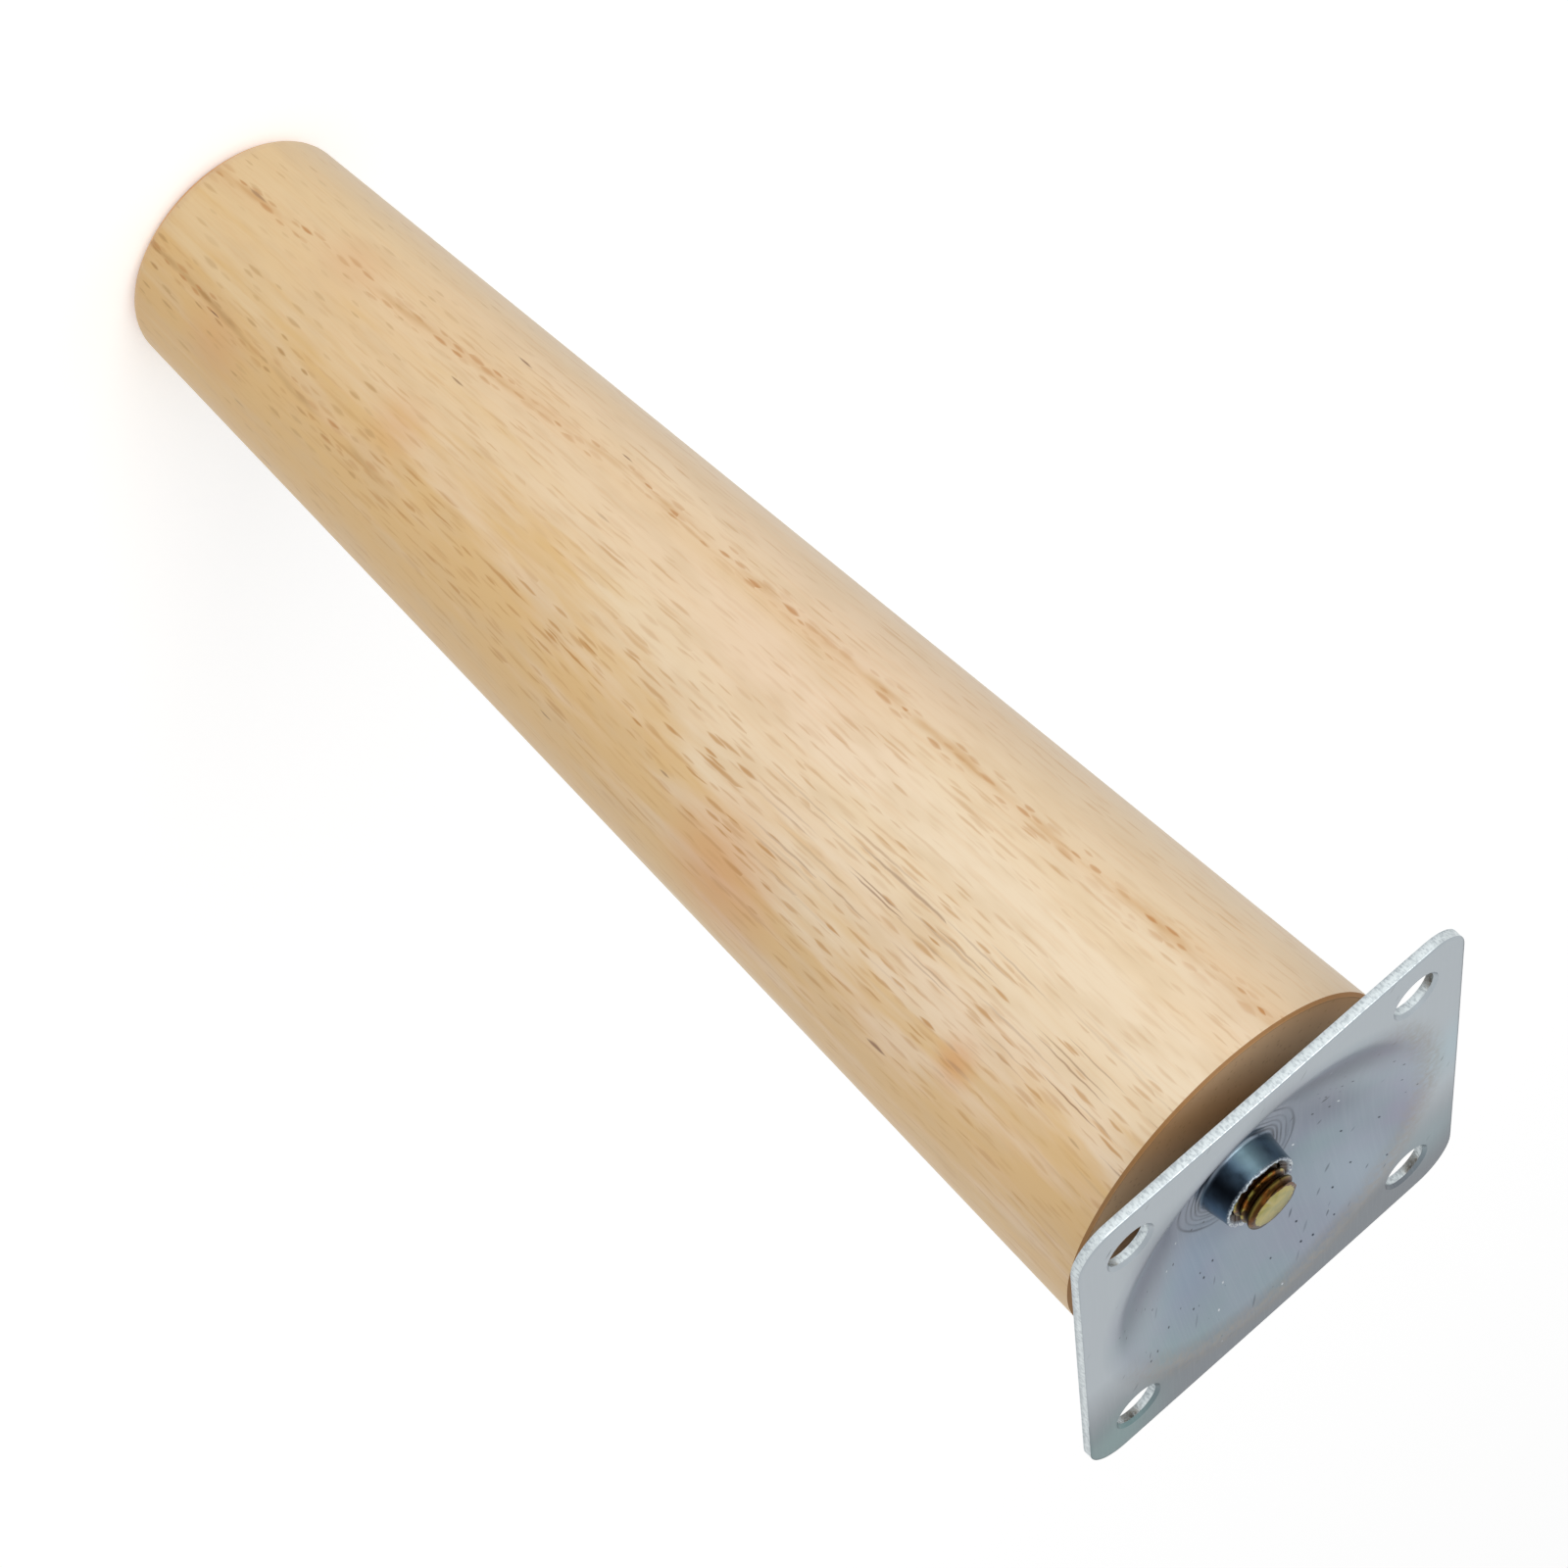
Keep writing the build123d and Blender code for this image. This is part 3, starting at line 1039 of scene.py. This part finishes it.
    def add_marks(self, tree: Tree, at: Sockets, share: Sockets) -> None:
        """Strew specks, pin holes and short scratches in loose clusters, and draw the fine rings, of which
        the two innermost are painted shadow at the collar's foot.

        Args:
            tree: The material's tree.
            at: What is known about a point.
            share: The shares by name, which get the marks.
        """
        spread = {"Vector": at["place"], "Scale": 1 / (self.speck_spacing * MM)}
        cells = add(tree, "ShaderNodeTexVoronoi", spread).node.outputs
        chance = add(tree, "ShaderNodeSeparateColor", [cells["Color"]]).node.outputs
        lucky = add(tree, MATH, [chance["Red"], share["luck"]], operation="LESS_THAN")
        dot = add(tree, RANGE, [cells["Distance"], 0.16, 0.08])
        share["specks"] = add(tree, MATH, [dot, lucky], operation="MULTIPLY")
        pale = add(tree, MATH, [chance["Blue"], 0.85], operation="GREATER_THAN")
        share["pale_specks"] = add(tree, MATH, [share["specks"], pale], operation="MULTIPLY")
        slanted = {"Vector": at["flat"], "Angle": self.scratch_turn}
        turned = add(tree, "ShaderNodeVectorRotate", slanted, rotation_type="Z_AXIS")
        share["scratches"] = dashes(tree, turned, (2.6, 3.6), (0.2, 0.9), 0.2, 5.3)
        wander = [at["cluster"], self.ring_wander * MM, at["radius"]]
        wobbly = add(tree, MATH, wander, operation="MULTIPLY_ADD")
        lines = 0.0
        for radius, half_width, most in self.rings:
            line = band(tree, wobbly, (radius + self.ring_wander / 2) * MM, half_width * MM)
            line = add(tree, MATH, [line, most], operation="MULTIPLY")
            lines = add(tree, MATH, [lines, line], operation="MAXIMUM")
        share["lines"] = add(tree, MATH, [lines, share["arcs"]], operation="MULTIPLY")

    def shader(self, tree: Tree) -> Socket:
        """Dress the pressed sheet, on Object coordinates about the dish's axis.

        Args:
            tree: The material's tree.

        Returns:
            The finish's shader.
        """
        # Passivated zinc is a bluish grey metal with a faint oil-like play of lavender and teal. The press
        # has rubbed it dull round the dish's mouth and has burnished the drawn collar to a dark, shiny
        # slate. Painted reflections, light and shade lie over this: in many of the clouds, on the darker
        # floor, in the strokes on the collar's side, in dark lines at the collar's foot and in the dark bore
        # under the rim.
        at = about_axis(tree)
        rows = [
            ("cloud", "place", (17, 17, 17), 3.0),
            ("rub", "place", (0.9, 0.9, 0.9), 5.0),
            ("cluster", "place", (8, 8, 8), 1.0),
            ("mottle", "place", (1.6, 1.6, 1.6), 3.0),
            ("grit", "place", (0.35, 0.35, 0.35), 2.0),
            ("brush", "place", (0.3, 9, 9), 2.0),
        ]
        add_fields(tree, at, rows)
        play = add(tree, "ShaderNodeSeparateColor", [at["cloud"].node.outputs["Color"]]).node.outputs
        at |= {name: play[name] for name in ("Red", "Green")}
        at["slant"] = add(tree, VECTOR, [at["flat"], (0.6, -0.8, 0)], "Value", operation="DOT_PRODUCT")
        share = self.shares(tree, at)
        self.add_marks(tree, at, share)
        under = (
            ("lavender", self.lavender),
            ("teal", self.teal),
            ("flange", self.flat),
            ("far", self.dull),
            ("floor", self.floor),
        )
        over = (
            ("brush", self.bright),
            ("scuff", self.scuffed),
            ("dark_edge_line", self.dull),
            ("lines", self.line),
            ("specks", self.speck),
            ("pale_specks", self.bright),
            ("scratches", self.speck),
            ("side", self.slate),
            ("mottled", self.deep_slate),
        )
        layers = [(share[name], colour) for name, colour in under]
        # Clouds, many of them painted reflections, light and shade, over the plating's tones
        for middle, reach, colour, most in self.tint_clouds_and_painted_light:
            layers.append((spot(tree, at["flat"], middle, reach, most), colour))
        layers += [(share[name], colour) for name, colour in over]
        # Painted reflections, with some smudges, on the collar's side
        for middle, reach, colour, most in self.reflection_and_smudge_strokes:
            stroke = spot(tree, at["flat"], middle, reach, most)
            layers.append((add(tree, MATH, [stroke, share["side"]], operation="MULTIPLY"), colour))
        # The collar's bright rim, and painted shade in the bore beneath it
        layers += [(share["edge"], self.rim), (share["hollow"], self.painted_bore_shade)]
        tone = layered(tree, self.blue, layers)
        dull = add(tree, RANGE, [share["scuff"], 0.0, 1.0, 0.34, 0.6])
        shine = add(tree, RANGE, [share["side"], 0.0, 1.0, 0.0, -0.1])
        roughness = add(tree, MATH, [dull, shine], operation="ADD")
        pitted = add(tree, MATH, [share["specks"], -1.5, at["grit"]], operation="MULTIPLY_ADD")
        relief = {"Height": pitted, "Strength": 0.15, "Distance": self.pit_depth * MM}
        metal = {"Base Color": tone, "Metallic": 1.0, "Roughness": roughness}
        return add(tree, PRINCIPLED, metal | {"Normal": add(tree, BUMP, relief)})


@dataclass(frozen=True)
class ShearedZinc(Finish):
    """Zinc-plated steel on the sheet's sheared edges and punched holes."""

    name: str = "zinc_sheared_edge"
    bright: str = "#CDD5D7"
    torn: str = "#A9B1B5"
    score: Triple = (0.28, 0.28, 0.55)
    score_depth: float = 0.05

    def shader(self, tree: Tree) -> Socket:
        """Dress the sheared edges, on Object coordinates.

        Args:
            tree: The material's tree.

        Returns:
            The finish's shader.
        """
        # The shear leaves a bright burnished strip and a duller torn one, both scored across the sheet.
        at = about_axis(tree)
        add_fields(tree, at, [("score", "place", self.score, 3.0)])
        depth = add(tree, RANGE, [at["Z"], -0.7 * MM, -1.3 * MM, 0.0, 0.5])
        ragged = add(tree, RANGE, [at["score"], 0.45, 0.65, 0.0, 0.75])
        share = add(tree, MATH, [depth, ragged], operation="ADD", use_clamp=True)
        tone = layered(tree, self.bright, [(share, self.torn)])
        roughness = add(tree, RANGE, [share, 0.0, 1.0, 0.28, 0.6])
        relief = {"Height": at["score"], "Strength": 0.25, "Distance": self.score_depth * MM}
        metal = {"Base Color": tone, "Metallic": 1.0, "Roughness": roughness}
        return add(tree, PRINCIPLED, metal | {"Normal": add(tree, BUMP, relief)})


@dataclass(frozen=True)
class YellowZinc(Finish):
    """Steel with yellow chromated zinc plating, on the bolt."""

    name: str = "yellow_zinc_plating"
    gold: str = "#A09349"
    olive: str = "#878548"
    brown: str = "#42280F"
    copper: str = "#A0622A"
    # Painted shade in the thread's roots
    root: str = "#24150A"
    wear_reach: float = 0.9
    grit_depth: float = 0.05

    def shader(self, tree: Tree) -> Socket:
        """Dress the bolt, on Object coordinates about its axis.

        Args:
            tree: The material's tree.

        Returns:
            The finish's shader.
        """
        # Yellow chromate over zinc plays from olive gold to copper. The flat end keeps its gold, while the
        # chamfer and the ridges are rubbed to copper brown. The roots are darkened with painted shade, and
        # the gold on the crests is partly the chromate's play and partly a painted highlight.
        at = about_axis(tree)
        rows = [
            ("play", "place", (1.5, 1.5, 1.5), 3.0),
            ("grit", "place", (0.3, 0.3, 0.3), 2.0),
            ("wear", "place", (0.7, 0.7, 0.7), 2.0),
        ]
        add_fields(tree, at, rows)
        play = add(tree, "ShaderNodeSeparateColor", [at["play"].node.outputs["Color"]]).node.outputs
        at |= {name: play[name] for name in ("Red", "Green", "Blue")}
        # The gold is worn off in a ragged line round the flat end
        wander = [at["wear"], self.wear_reach * MM, at["radius"]]
        at["worn"] = add(tree, MATH, wander, operation="MULTIPLY_ADD")
        share = {}
        for name, source, low, high, most in (
            ("olive", "Red", 0.42, 0.6, 0.8),
            ("copper", "Green", 0.5, 0.62, 0.9),
            # Gold on the thread's crests: partly the chromate's play, partly painted highlight
            ("gold_and_highlight", "Blue", 0.44, 0.54, 0.95),
            ("outer", "worn", 3.58 * MM, 3.7 * MM, 0.95),
            ("crest", "radius", 3.65 * MM, 3.9 * MM, 1.0),
            # The thread's roots below the end, painted darker as shade
            ("low", "radius", 3.8 * MM, 3.5 * MM, 0.9),
            ("below", "Z", -0.3 * MM, -0.5 * MM, 1.0),
            ("lead", "Z", -1.2 * MM, -0.95 * MM, 0.75),
        ):
            share[name] = add(tree, RANGE, [at[source], low, high, 0.0, most])
        for name, first, second in (
            ("copper", "copper", "outer"),
            ("gold_and_highlight", "gold_and_highlight", "crest"),
            ("root_shade", "low", "below"),
            ("lead", "lead", "outer"),
        ):
            share[name] = add(tree, MATH, [share[first], share[second]], operation="MULTIPLY")
        tones = (
            ("olive", self.olive),
            ("outer", self.brown),
            ("copper", self.copper),
            ("gold_and_highlight", self.gold),
            ("root_shade", self.root),
            ("lead", self.brown),
        )
        tone = layered(tree, self.gold, [(share[name], colour) for name, colour in tones])
        roughness = add(tree, RANGE, [share["root_shade"], 0.0, 1.0, 0.28, 0.6])
        relief = {"Height": at["grit"], "Strength": 0.3, "Distance": self.grit_depth * MM}
        metal = {"Base Color": tone, "Metallic": 1.0, "Roughness": roughness}
        return add(tree, PRINCIPLED, metal | {"Normal": add(tree, BUMP, relief)})


@dataclass(frozen=True)
class PaperFloor(Finish):
    """Matt white paper under the part."""

    name: str = "studio_paper"
    white: str = "#FCFCFC"
    lift: float = 0.34

    def shader(self, tree: Tree) -> Socket:
        """Dress the floor so that it looks white and keeps the part's shadow.

        Args:
            tree: The material's tree.

        Returns:
            The finish's shader.
        """
        # Backdrop paper is an even matt white. What the light leaves short of white is added
        # where it is seen.
        strength = add(tree, MATH, [looked_at(tree), self.lift], operation="MULTIPLY")
        glow = add(tree, "ShaderNodeEmission", {"Color": linear(self.white), "Strength": strength})
        paper = add(tree, "ShaderNodeBsdfDiffuse", {"Color": linear(self.white)})
        lit = add(tree, "ShaderNodeAddShader", [paper, glow])
        # Seen from below, the paper lets the foot's end show
        under = add(tree, "ShaderNodeNewGeometry", output="Backfacing")
        return add(tree, "ShaderNodeMixShader", [under, lit, add(tree, "ShaderNodeBsdfTransparent")])


@dataclass(frozen=True)
class GreyCard(Finish):
    """An evenly lit grey card that only metal mirrors."""

    name: str = "grey_card"
    grey: str = "#63676C"

    def shader(self, tree: Tree) -> Socket:
        """Dress the card in one even grey, which needs no light."""
        return add(tree, "ShaderNodeEmission", {"Color": linear(self.grey), "Strength": 1.0})


@dataclass
class TurnedLeg:
    """The turned wooden leg: straight taper, rounded foot edge, crisp top edge and the bolt's bore."""

    top_z: float = -8.0
    foot_z: float = -200.0
    top_radius: float = 26.0
    foot_radius: float = 17.5
    top_edge: float = 0.4
    foot_edge_radius: float = 3.0
    bore_radius: float = 4.1
    bore_end_z: float = -47.0
    drill_point: float = 2.46
    segments: int = 192
    side_steps: int = 64
    round_steps: int = 8
    # The side is divided from this far above the foot, clear of the rounded edge
    side_start: float = 5.0
    # Faces that lean less than this from level, or line the bore within this margin, are sawn or drilled
    sawn_slope: float = 0.6
    bore_margin: float = 0.05
    sharp_degrees: float = 30.0

    def profile(self) -> list[Point]:
        """Half section from the foot's centre, up the side and down the bore to the drill point."""
        lean = (self.top_radius - self.foot_radius) / (self.top_z - self.foot_z)
        centre = (0.0, self.foot_z)
        start = (self.foot_radius + self.side_start * lean, self.foot_z + self.side_start)
        under_edge = (self.top_radius - self.top_edge * lean, self.top_z - self.top_edge)
        top = (self.top_radius - self.top_edge, self.top_z)
        mouth = (self.bore_radius, self.top_z)
        end = (self.bore_radius, self.bore_end_z)
        corners: list[Triple] = [(*centre, 0.0)]
        corners += divided(centre, (self.foot_radius - self.foot_edge_radius, self.foot_z), 6)
        corners.append((self.foot_radius, self.foot_z, self.foot_edge_radius))
        for first, last, count in (
            (start, under_edge, self.side_steps),
            (under_edge, top, 1),
            (top, mouth, 10),
            (mouth, end, 8),
        ):
            corners.append((*first, 0.0))
            corners += divided(first, last, count)
        corners.append((*end, 0.0))
        corners.append((0.0, self.bore_end_z - self.drill_point, 0.0))
        return rounded(corners, self.round_steps)

    def build(self) -> Object:
        """Build the leg and dress its side and its sawn ends.

        Returns:
            The leg's object.
        """
        values = {
            "Segments": self.segments,
            "Seam": SEAM_ANGLE,
            "Girth": math.pi * (self.top_radius + self.foot_radius) * MM,
            "Material": Rubberwood().material(),
        }
        mesh = grow(turned_form(), chain("leg_profile", self.profile()), values)
        mesh.materials.append(RubberwoodEndGrain().material())
        for face in mesh.polygons:
            hollow = math.hypot(face.center.x, face.center.y) < (self.bore_radius + self.bore_margin) * MM
            if hollow or abs(face.normal.z) > self.sawn_slope:
                face.material_index = 1
        return finished("turned_leg", mesh, self.sharp_degrees, "wooden_leg")


@dataclass
class MountingPlate:
    """The stamped plate: flange, pressed dish, drawn collar, sheared edges and punched screw holes."""

    width: float = 62.0
    corner_radius: float = 5.5
    thickness: float = 1.5
    screw_spacing: float = 46.0
    hole_diameter: float = 6.5
    hole_roll: float = 0.45
    punch_depth: float = 9.0
    mouth_radius: float = 25.5
    floor_radius: float = 10.5
    depth: float = 6.5
    mouth_bend: float = 7.0
    floor_bend: float = 6.0
    collar_base_radius: float = 5.95
    collar_rim_radius: float = 5.45
    collar_height: float = 4.2
    collar_root: float = 0.5
    collar_rim_edge: float = 0.18
    bore_radius: float = 4.1
    bore_entry: float = 0.8
    edge_roll: float = 0.2
    edge_burr: float = 0.12
    edge_marks: float = 0.005
    draw_rings: tuple[float, ...] = (7.1, 8.5, 9.6)
    ring_width: float = 0.25
    ring_height: float = 0.06
    rim_width: float = 0.3
    rim_entry: float = 0.9
    # The torn rim: its height, how far down it reaches and the length of its waves
    rim_ragged: float = 0.18
    rim_depth: float = 0.5
    rim_wave: float = 0.7
    # The section stays round up to this far outside the dish's mouth
    round_margin: float = 1.5
    # Faces that lean less than this from upright are sheared
    sheared_tilt: float = 0.6
    columns: int = 480
    corner_steps: int = 16
    hole_sides: int = 72
    round_steps: int = 6
    seed: int = 7
    sharp_degrees: float = 35.0

    def profile(self) -> list[Point]:
        """Section of the sheet, from the edge over the front to the bore and back along the underside."""
        half = self.width / 2
        bore = self.bore_radius
        floor_z = -self.depth
        back_z = floor_z - self.thickness
        rim_z = floor_z + self.collar_height
        entry_z = rim_z - self.rim_entry
        slope = self.depth / (self.mouth_radius - self.floor_radius)
        # Straight runs are divided this far from their ends, clear of the rounds there
        mouth_gap, wall_gap, root_gap, rim_gap, bore_gap = 1.0, 2.0, 0.6, 0.4, 1.0
        floor_gap, flange_gap, edge_gap = 1.2, 2.5, 0.5
        wall_out = (self.mouth_radius - wall_gap, -wall_gap * slope)
        wall_in = (self.floor_radius + wall_gap, floor_z + wall_gap * slope)
        corners: list[Triple] = [(half, -self.thickness / 2, 0.0), (half, 0.0, self.edge_roll)]
        corners += divided((half - self.edge_roll, 0.0), (self.mouth_radius + mouth_gap, 0.0), 6)
        corners.append((self.mouth_radius, 0.0, self.mouth_bend))
        corners += divided(wall_out, wall_in, 8)
        corners.append((self.floor_radius, floor_z, self.floor_bend))
        for ring in reversed(self.draw_rings):
            corners.append((ring + self.ring_width, floor_z, 0.0))
            corners.append((ring, floor_z + self.ring_height, 0.0))
            corners.append((ring - self.ring_width, floor_z, 0.0))
        collar_foot = (self.collar_base_radius, floor_z + root_gap)
        corners.append((self.collar_base_radius, floor_z, self.collar_root))
        corners += divided(collar_foot, (self.collar_rim_radius, rim_z - rim_gap), 6)
        corners.append((self.collar_rim_radius, rim_z, self.collar_rim_edge))
        corners.append((self.collar_rim_radius - self.rim_width, rim_z, 0.0))
        corners.append((bore, entry_z, 0.0))
        corners += divided((bore, entry_z), (bore, back_z + bore_gap), 6)
        corners.append((bore, back_z, self.bore_entry))
        corners += divided((bore + floor_gap, back_z), (self.floor_radius - floor_gap, back_z), 4)
        corners.append((self.floor_radius, back_z, self.floor_bend + self.thickness))
        corners.append((self.mouth_radius, -self.thickness, self.mouth_bend - self.thickness))
        flange_in = (self.mouth_radius + flange_gap, -self.thickness)
        corners += divided(flange_in, (half - edge_gap, -self.thickness), 5)
        corners.append((half, -self.thickness, self.edge_burr))
        corners.append((half, -self.thickness / 2, 0.0))
        return rounded(corners, self.round_steps)

    def ragged_rim(self, mesh: Mesh) -> None:
        """Leave the collar's rim slightly uneven, as the draw tears it."""
        rim_z = self.collar_height - self.depth
        for vertex in mesh.vertices:
            radius = math.hypot(vertex.co.x, vertex.co.y) / MM
            lift = 1 - (rim_z - vertex.co.z / MM) / self.rim_depth
            if radius < self.collar_base_radius and lift > 0:
                wave = noise.noise(Vector((vertex.co.x, vertex.co.y, 0.0)) / (self.rim_wave * MM))
                vertex.co.z += wave * lift * self.rim_ragged * MM

    def build(self) -> Object:
        """Build the plate and dress its plated faces and its sheared edges.

        Returns:
            The plate's object.
        """
        values = {
            "Width": self.width * MM,
            "Corner Radius": self.corner_radius * MM,
            "Round Radius": (self.mouth_radius + self.round_margin) * MM,
            "Edge Marks": self.edge_marks * MM,
            "Screw Spacing": self.screw_spacing * MM,
            "Hole Radius": self.hole_diameter / 2 * MM,
            "Hole Roll": self.hole_roll * MM,
            "Punch Depth": self.punch_depth * MM,
            "Sheared Tilt": self.sheared_tilt,
            "Columns": self.columns,
            "Corner Steps": self.corner_steps,
            "Hole Sides": self.hole_sides,
            "Seed": self.seed,
            "Material": BlueZinc().material(),
            "Edge Material": ShearedZinc().material(),
        }
        mesh = grow(stamped_form(), chain("sheet_section", self.profile()), values)
        self.ragged_rim(mesh)
        return finished("stamped_plate", mesh, self.sharp_degrees, "mounting_plate")


@dataclass
class HangerBolt:
    """The hanger bolt: machine thread above, plain neck, wood thread and point below."""

    end_z: float = 0.0
    point_z: float = -45.0
    machine_end_z: float = -18.0
    neck_end_z: float = -21.0
    machine_pitch: float = 1.25
    machine_crest: float = 4.0
    machine_root: float = 3.42
    end_radius: float = 3.3
    end_slope: float = 4.0
    neck_radius: float = 3.4
    neck_edge: float = 0.4
    # The neck reaches this far into the threads that it joins
    neck_overlap: float = 0.6
    wood_pitch: float = 3.0
    wood_crest: float = 3.7
    wood_root: float = 2.6
    point_length: float = 5.0
    point_radius: float = 0.05
    segments: int = 72
    # Turns of the helix above and below the thread, which its ends press flat
    spare_turns: int = 5
    sharp_degrees: float = 32.0

    def thread(self, tree: Tree, lengths: dict[str, float], others: dict[str, object]) -> Mesh:
        """Grow one thread.

        Args:
            tree: The thread's geometry tree.
            lengths: The tree's inputs that are lengths, in millimetres.
            others: The tree's other inputs, apart from the numbers of segments and rows.

        Returns:
            The thread as a closed mesh.
        """
        turns = (lengths["Top"] - lengths["Bottom"]) / lengths["Pitch"] + self.spare_turns
        values = {name: length * MM for name, length in lengths.items()}
        values |= others | {"Segments": self.segments, "Rows": int(turns * others["Steps"])}
        return grow(tree, chain("bolt_axis", [(0.0, 0.0), (0.0, 1.0)]), values)

    def build(self) -> Object:
        """Build the bolt's two threads and its neck, and join them.

        Returns:
            The bolt's object.
        """
        plating = YellowZinc().material()
        tree = threaded_form()
        machine_lengths = {
            "Top": self.end_z,
            "Bottom": self.machine_end_z,
            "Pitch": self.machine_pitch,
            "Crest Radius": self.machine_crest,
            "Root Radius": self.machine_root,
            "Top Radius": self.end_radius,
            "Bottom Radius": self.machine_root,
        }
        machine_shape = {
            "Crest Share": 0.16,
            "Root Share": 0.16,
            "Top Slope": self.end_slope,
            "Bottom Slope": 1.0,
            "Steps": 10,
            "Material": plating,
        }
        wood_lengths = {
            "Top": self.neck_end_z,
            "Bottom": self.point_z,
            "Pitch": self.wood_pitch,
            "Crest Radius": self.wood_crest,
            "Root Radius": self.wood_root,
            "Top Radius": self.wood_root,
            "Bottom Radius": self.point_radius,
        }
        wood_shape = {
            "Crest Share": 0.1,
            "Root Share": 0.45,
            "Top Slope": 0.8,
            "Bottom Slope": self.wood_crest / self.point_length,
            "Steps": 16,
            "Material": plating,
        }
        machine = self.thread(tree, machine_lengths, machine_shape)
        wood = self.thread(tree, wood_lengths, wood_shape)
        low = self.neck_end_z - self.neck_overlap
        high = self.machine_end_z + self.neck_overlap
        side = [(self.neck_radius, low, self.neck_edge), (self.neck_radius, high, 0.0)]
        profile = rounded([(0.0, low, 0.0), *side, (0.0, high, 0.0)], 5)
        values = {"Segments": self.segments, "Seam": 0.0, "Girth": 1.0, "Material": plating}
        neck = grow(turned_form(), chain("neck_profile", profile), values)
        mesh = united([machine, neck, wood])
        return finished("threaded_bolt", mesh, self.sharp_degrees, "hanger_bolt")


@dataclass
class Studio:
    """Camera, lights, floor and a card for reflections."""

    camera_mm: Triple = (-183.35, 553.92, 183.12)
    camera_direction: Triple = (0.28135, -0.86427, -0.41699)
    camera_up: Triple = (0.60941, 0.49659, -0.61807)
    focal_px: float = 5206.5
    floor_radius_m: float = 9.0
    # The paper lies this far under the foot, so that their faces don't fight
    floor_gap_m: float = 0.00005
    card_middle_m: Triple = (0.4, -1.2, -0.03)
    card_width_m: float = 1.8
    card_height_m: float = 0.4
    key_target_m: Triple = (0.0, 0.0, -0.09)
    key_direction: Triple = (0.06, 0.86, 0.5)
    key_distance_m: float = 1.5
    key_size_m: float = 1.3
    key_watts: float = 8.5
    fill_strength: float = 0.62

    def set_camera(self) -> None:
        """Stand the camera where the photograph was taken from."""
        data = bpy.data.cameras.new("photo_camera")
        data.sensor_fit = "HORIZONTAL"
        data.sensor_width = SENSOR_MM
        data.lens = self.focal_px * SENSOR_MM / IMAGE_PX
        data.clip_start = 0.01
        data.clip_end = 50.0
        ahead = Vector(self.camera_direction).normalized()
        right = ahead.cross(Vector(self.camera_up)).normalized()
        up = right.cross(ahead)
        camera = placed("photo_camera", data)
        turn = Matrix((right, up, -ahead)).transposed().to_4x4()
        camera.matrix_world = Matrix.Translation(Vector(self.camera_mm) * MM) @ turn
        bpy.context.scene.camera = camera

    def staged(self, name: str, shape: bmesh.types.BMesh, finish: Finish) -> Object:
        """Set up a dressed stage piece.

        Args:
            name: The piece's name.
            shape: Its shape, which is used up.
            finish: Its finish.

        Returns:
            The piece's object.
        """
        mesh = bpy.data.meshes.new(name)
        shape.to_mesh(mesh)
        shape.free()
        mesh.materials.append(finish.material())
        piece = placed(name, mesh)
        return piece

    def lay_floor(self) -> None:
        """Lay the white paper that the foot stands on."""
        disc = bmesh.new()
        bmesh.ops.create_circle(disc, cap_ends=True, segments=96, radius=self.floor_radius_m)
        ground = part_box("wooden_leg")[0].z - self.floor_gap_m
        bmesh.ops.translate(disc, verts=disc.verts, vec=(0.0, 0.0, ground))
        self.staged("studio_floor", disc, PaperFloor())

    def stand_card(self) -> None:
        """Stand a grey card behind the part, which only metal mirrors, to draw the shape of the dish."""
        sheet = bmesh.new()
        size = Matrix.Diagonal((self.card_width_m / 2, self.card_height_m / 2, 1.0, 1.0))
        upright = Matrix.Rotation(math.radians(90), 4, "X")
        place = Matrix.Translation(Vector(self.card_middle_m)) @ upright @ size
        bmesh.ops.create_grid(sheet, x_segments=1, y_segments=1, size=1.0, matrix=place)
        card = self.staged("grey_card", sheet, GreyCard())
        card.visible_camera = False
        card.visible_diffuse = False
        card.visible_transmission = False
        card.visible_volume_scatter = False
        card.visible_shadow = False

    def set_light(self) -> None:
        """Set one large soft lamp near the camera, and an even fill from all round."""
        lamp = bpy.data.lights.new("soft_key", "AREA")
        lamp.shape = "DISK"
        lamp.size = self.key_size_m
        lamp.energy = self.key_watts
        direction = Vector(self.key_direction).normalized()
        middle = Vector(self.key_target_m) + direction * self.key_distance_m
        turn = direction.to_track_quat("Z", "Y").to_matrix().to_4x4()
        placed("soft_key", lamp).matrix_world = Matrix.Translation(middle) @ turn

        world = bpy.data.worlds.new("studio_room")
        world.use_nodes = True
        tree = world.node_tree
        tree.nodes.clear()
        strength = add(tree, RANGE, [looked_at(tree), 0.0, 1.0, self.fill_strength, 1.0])
        glow = add(tree, "ShaderNodeBackground", {"Color": linear("#FFFFFF"), "Strength": strength})
        add(tree, "ShaderNodeOutputWorld", {"Surface": glow})
        bpy.context.scene.world = world

    def build(self) -> None:
        """Set up the whole studio."""
        self.set_camera()
        self.lay_floor()
        self.stand_card()
        self.set_light()
        bpy.context.scene.view_settings.view_transform = "Standard"
        LOG.info("studio: camera, floor, card and light")


def main() -> None:
    """Build every piece in order."""
    logging.basicConfig(level=logging.INFO, format="%(name)s: %(message)s")
    Studio().build()
    TurnedLeg().build()
    MountingPlate().build()
    HangerBolt().build()


if __name__ == "__main__":
    main()
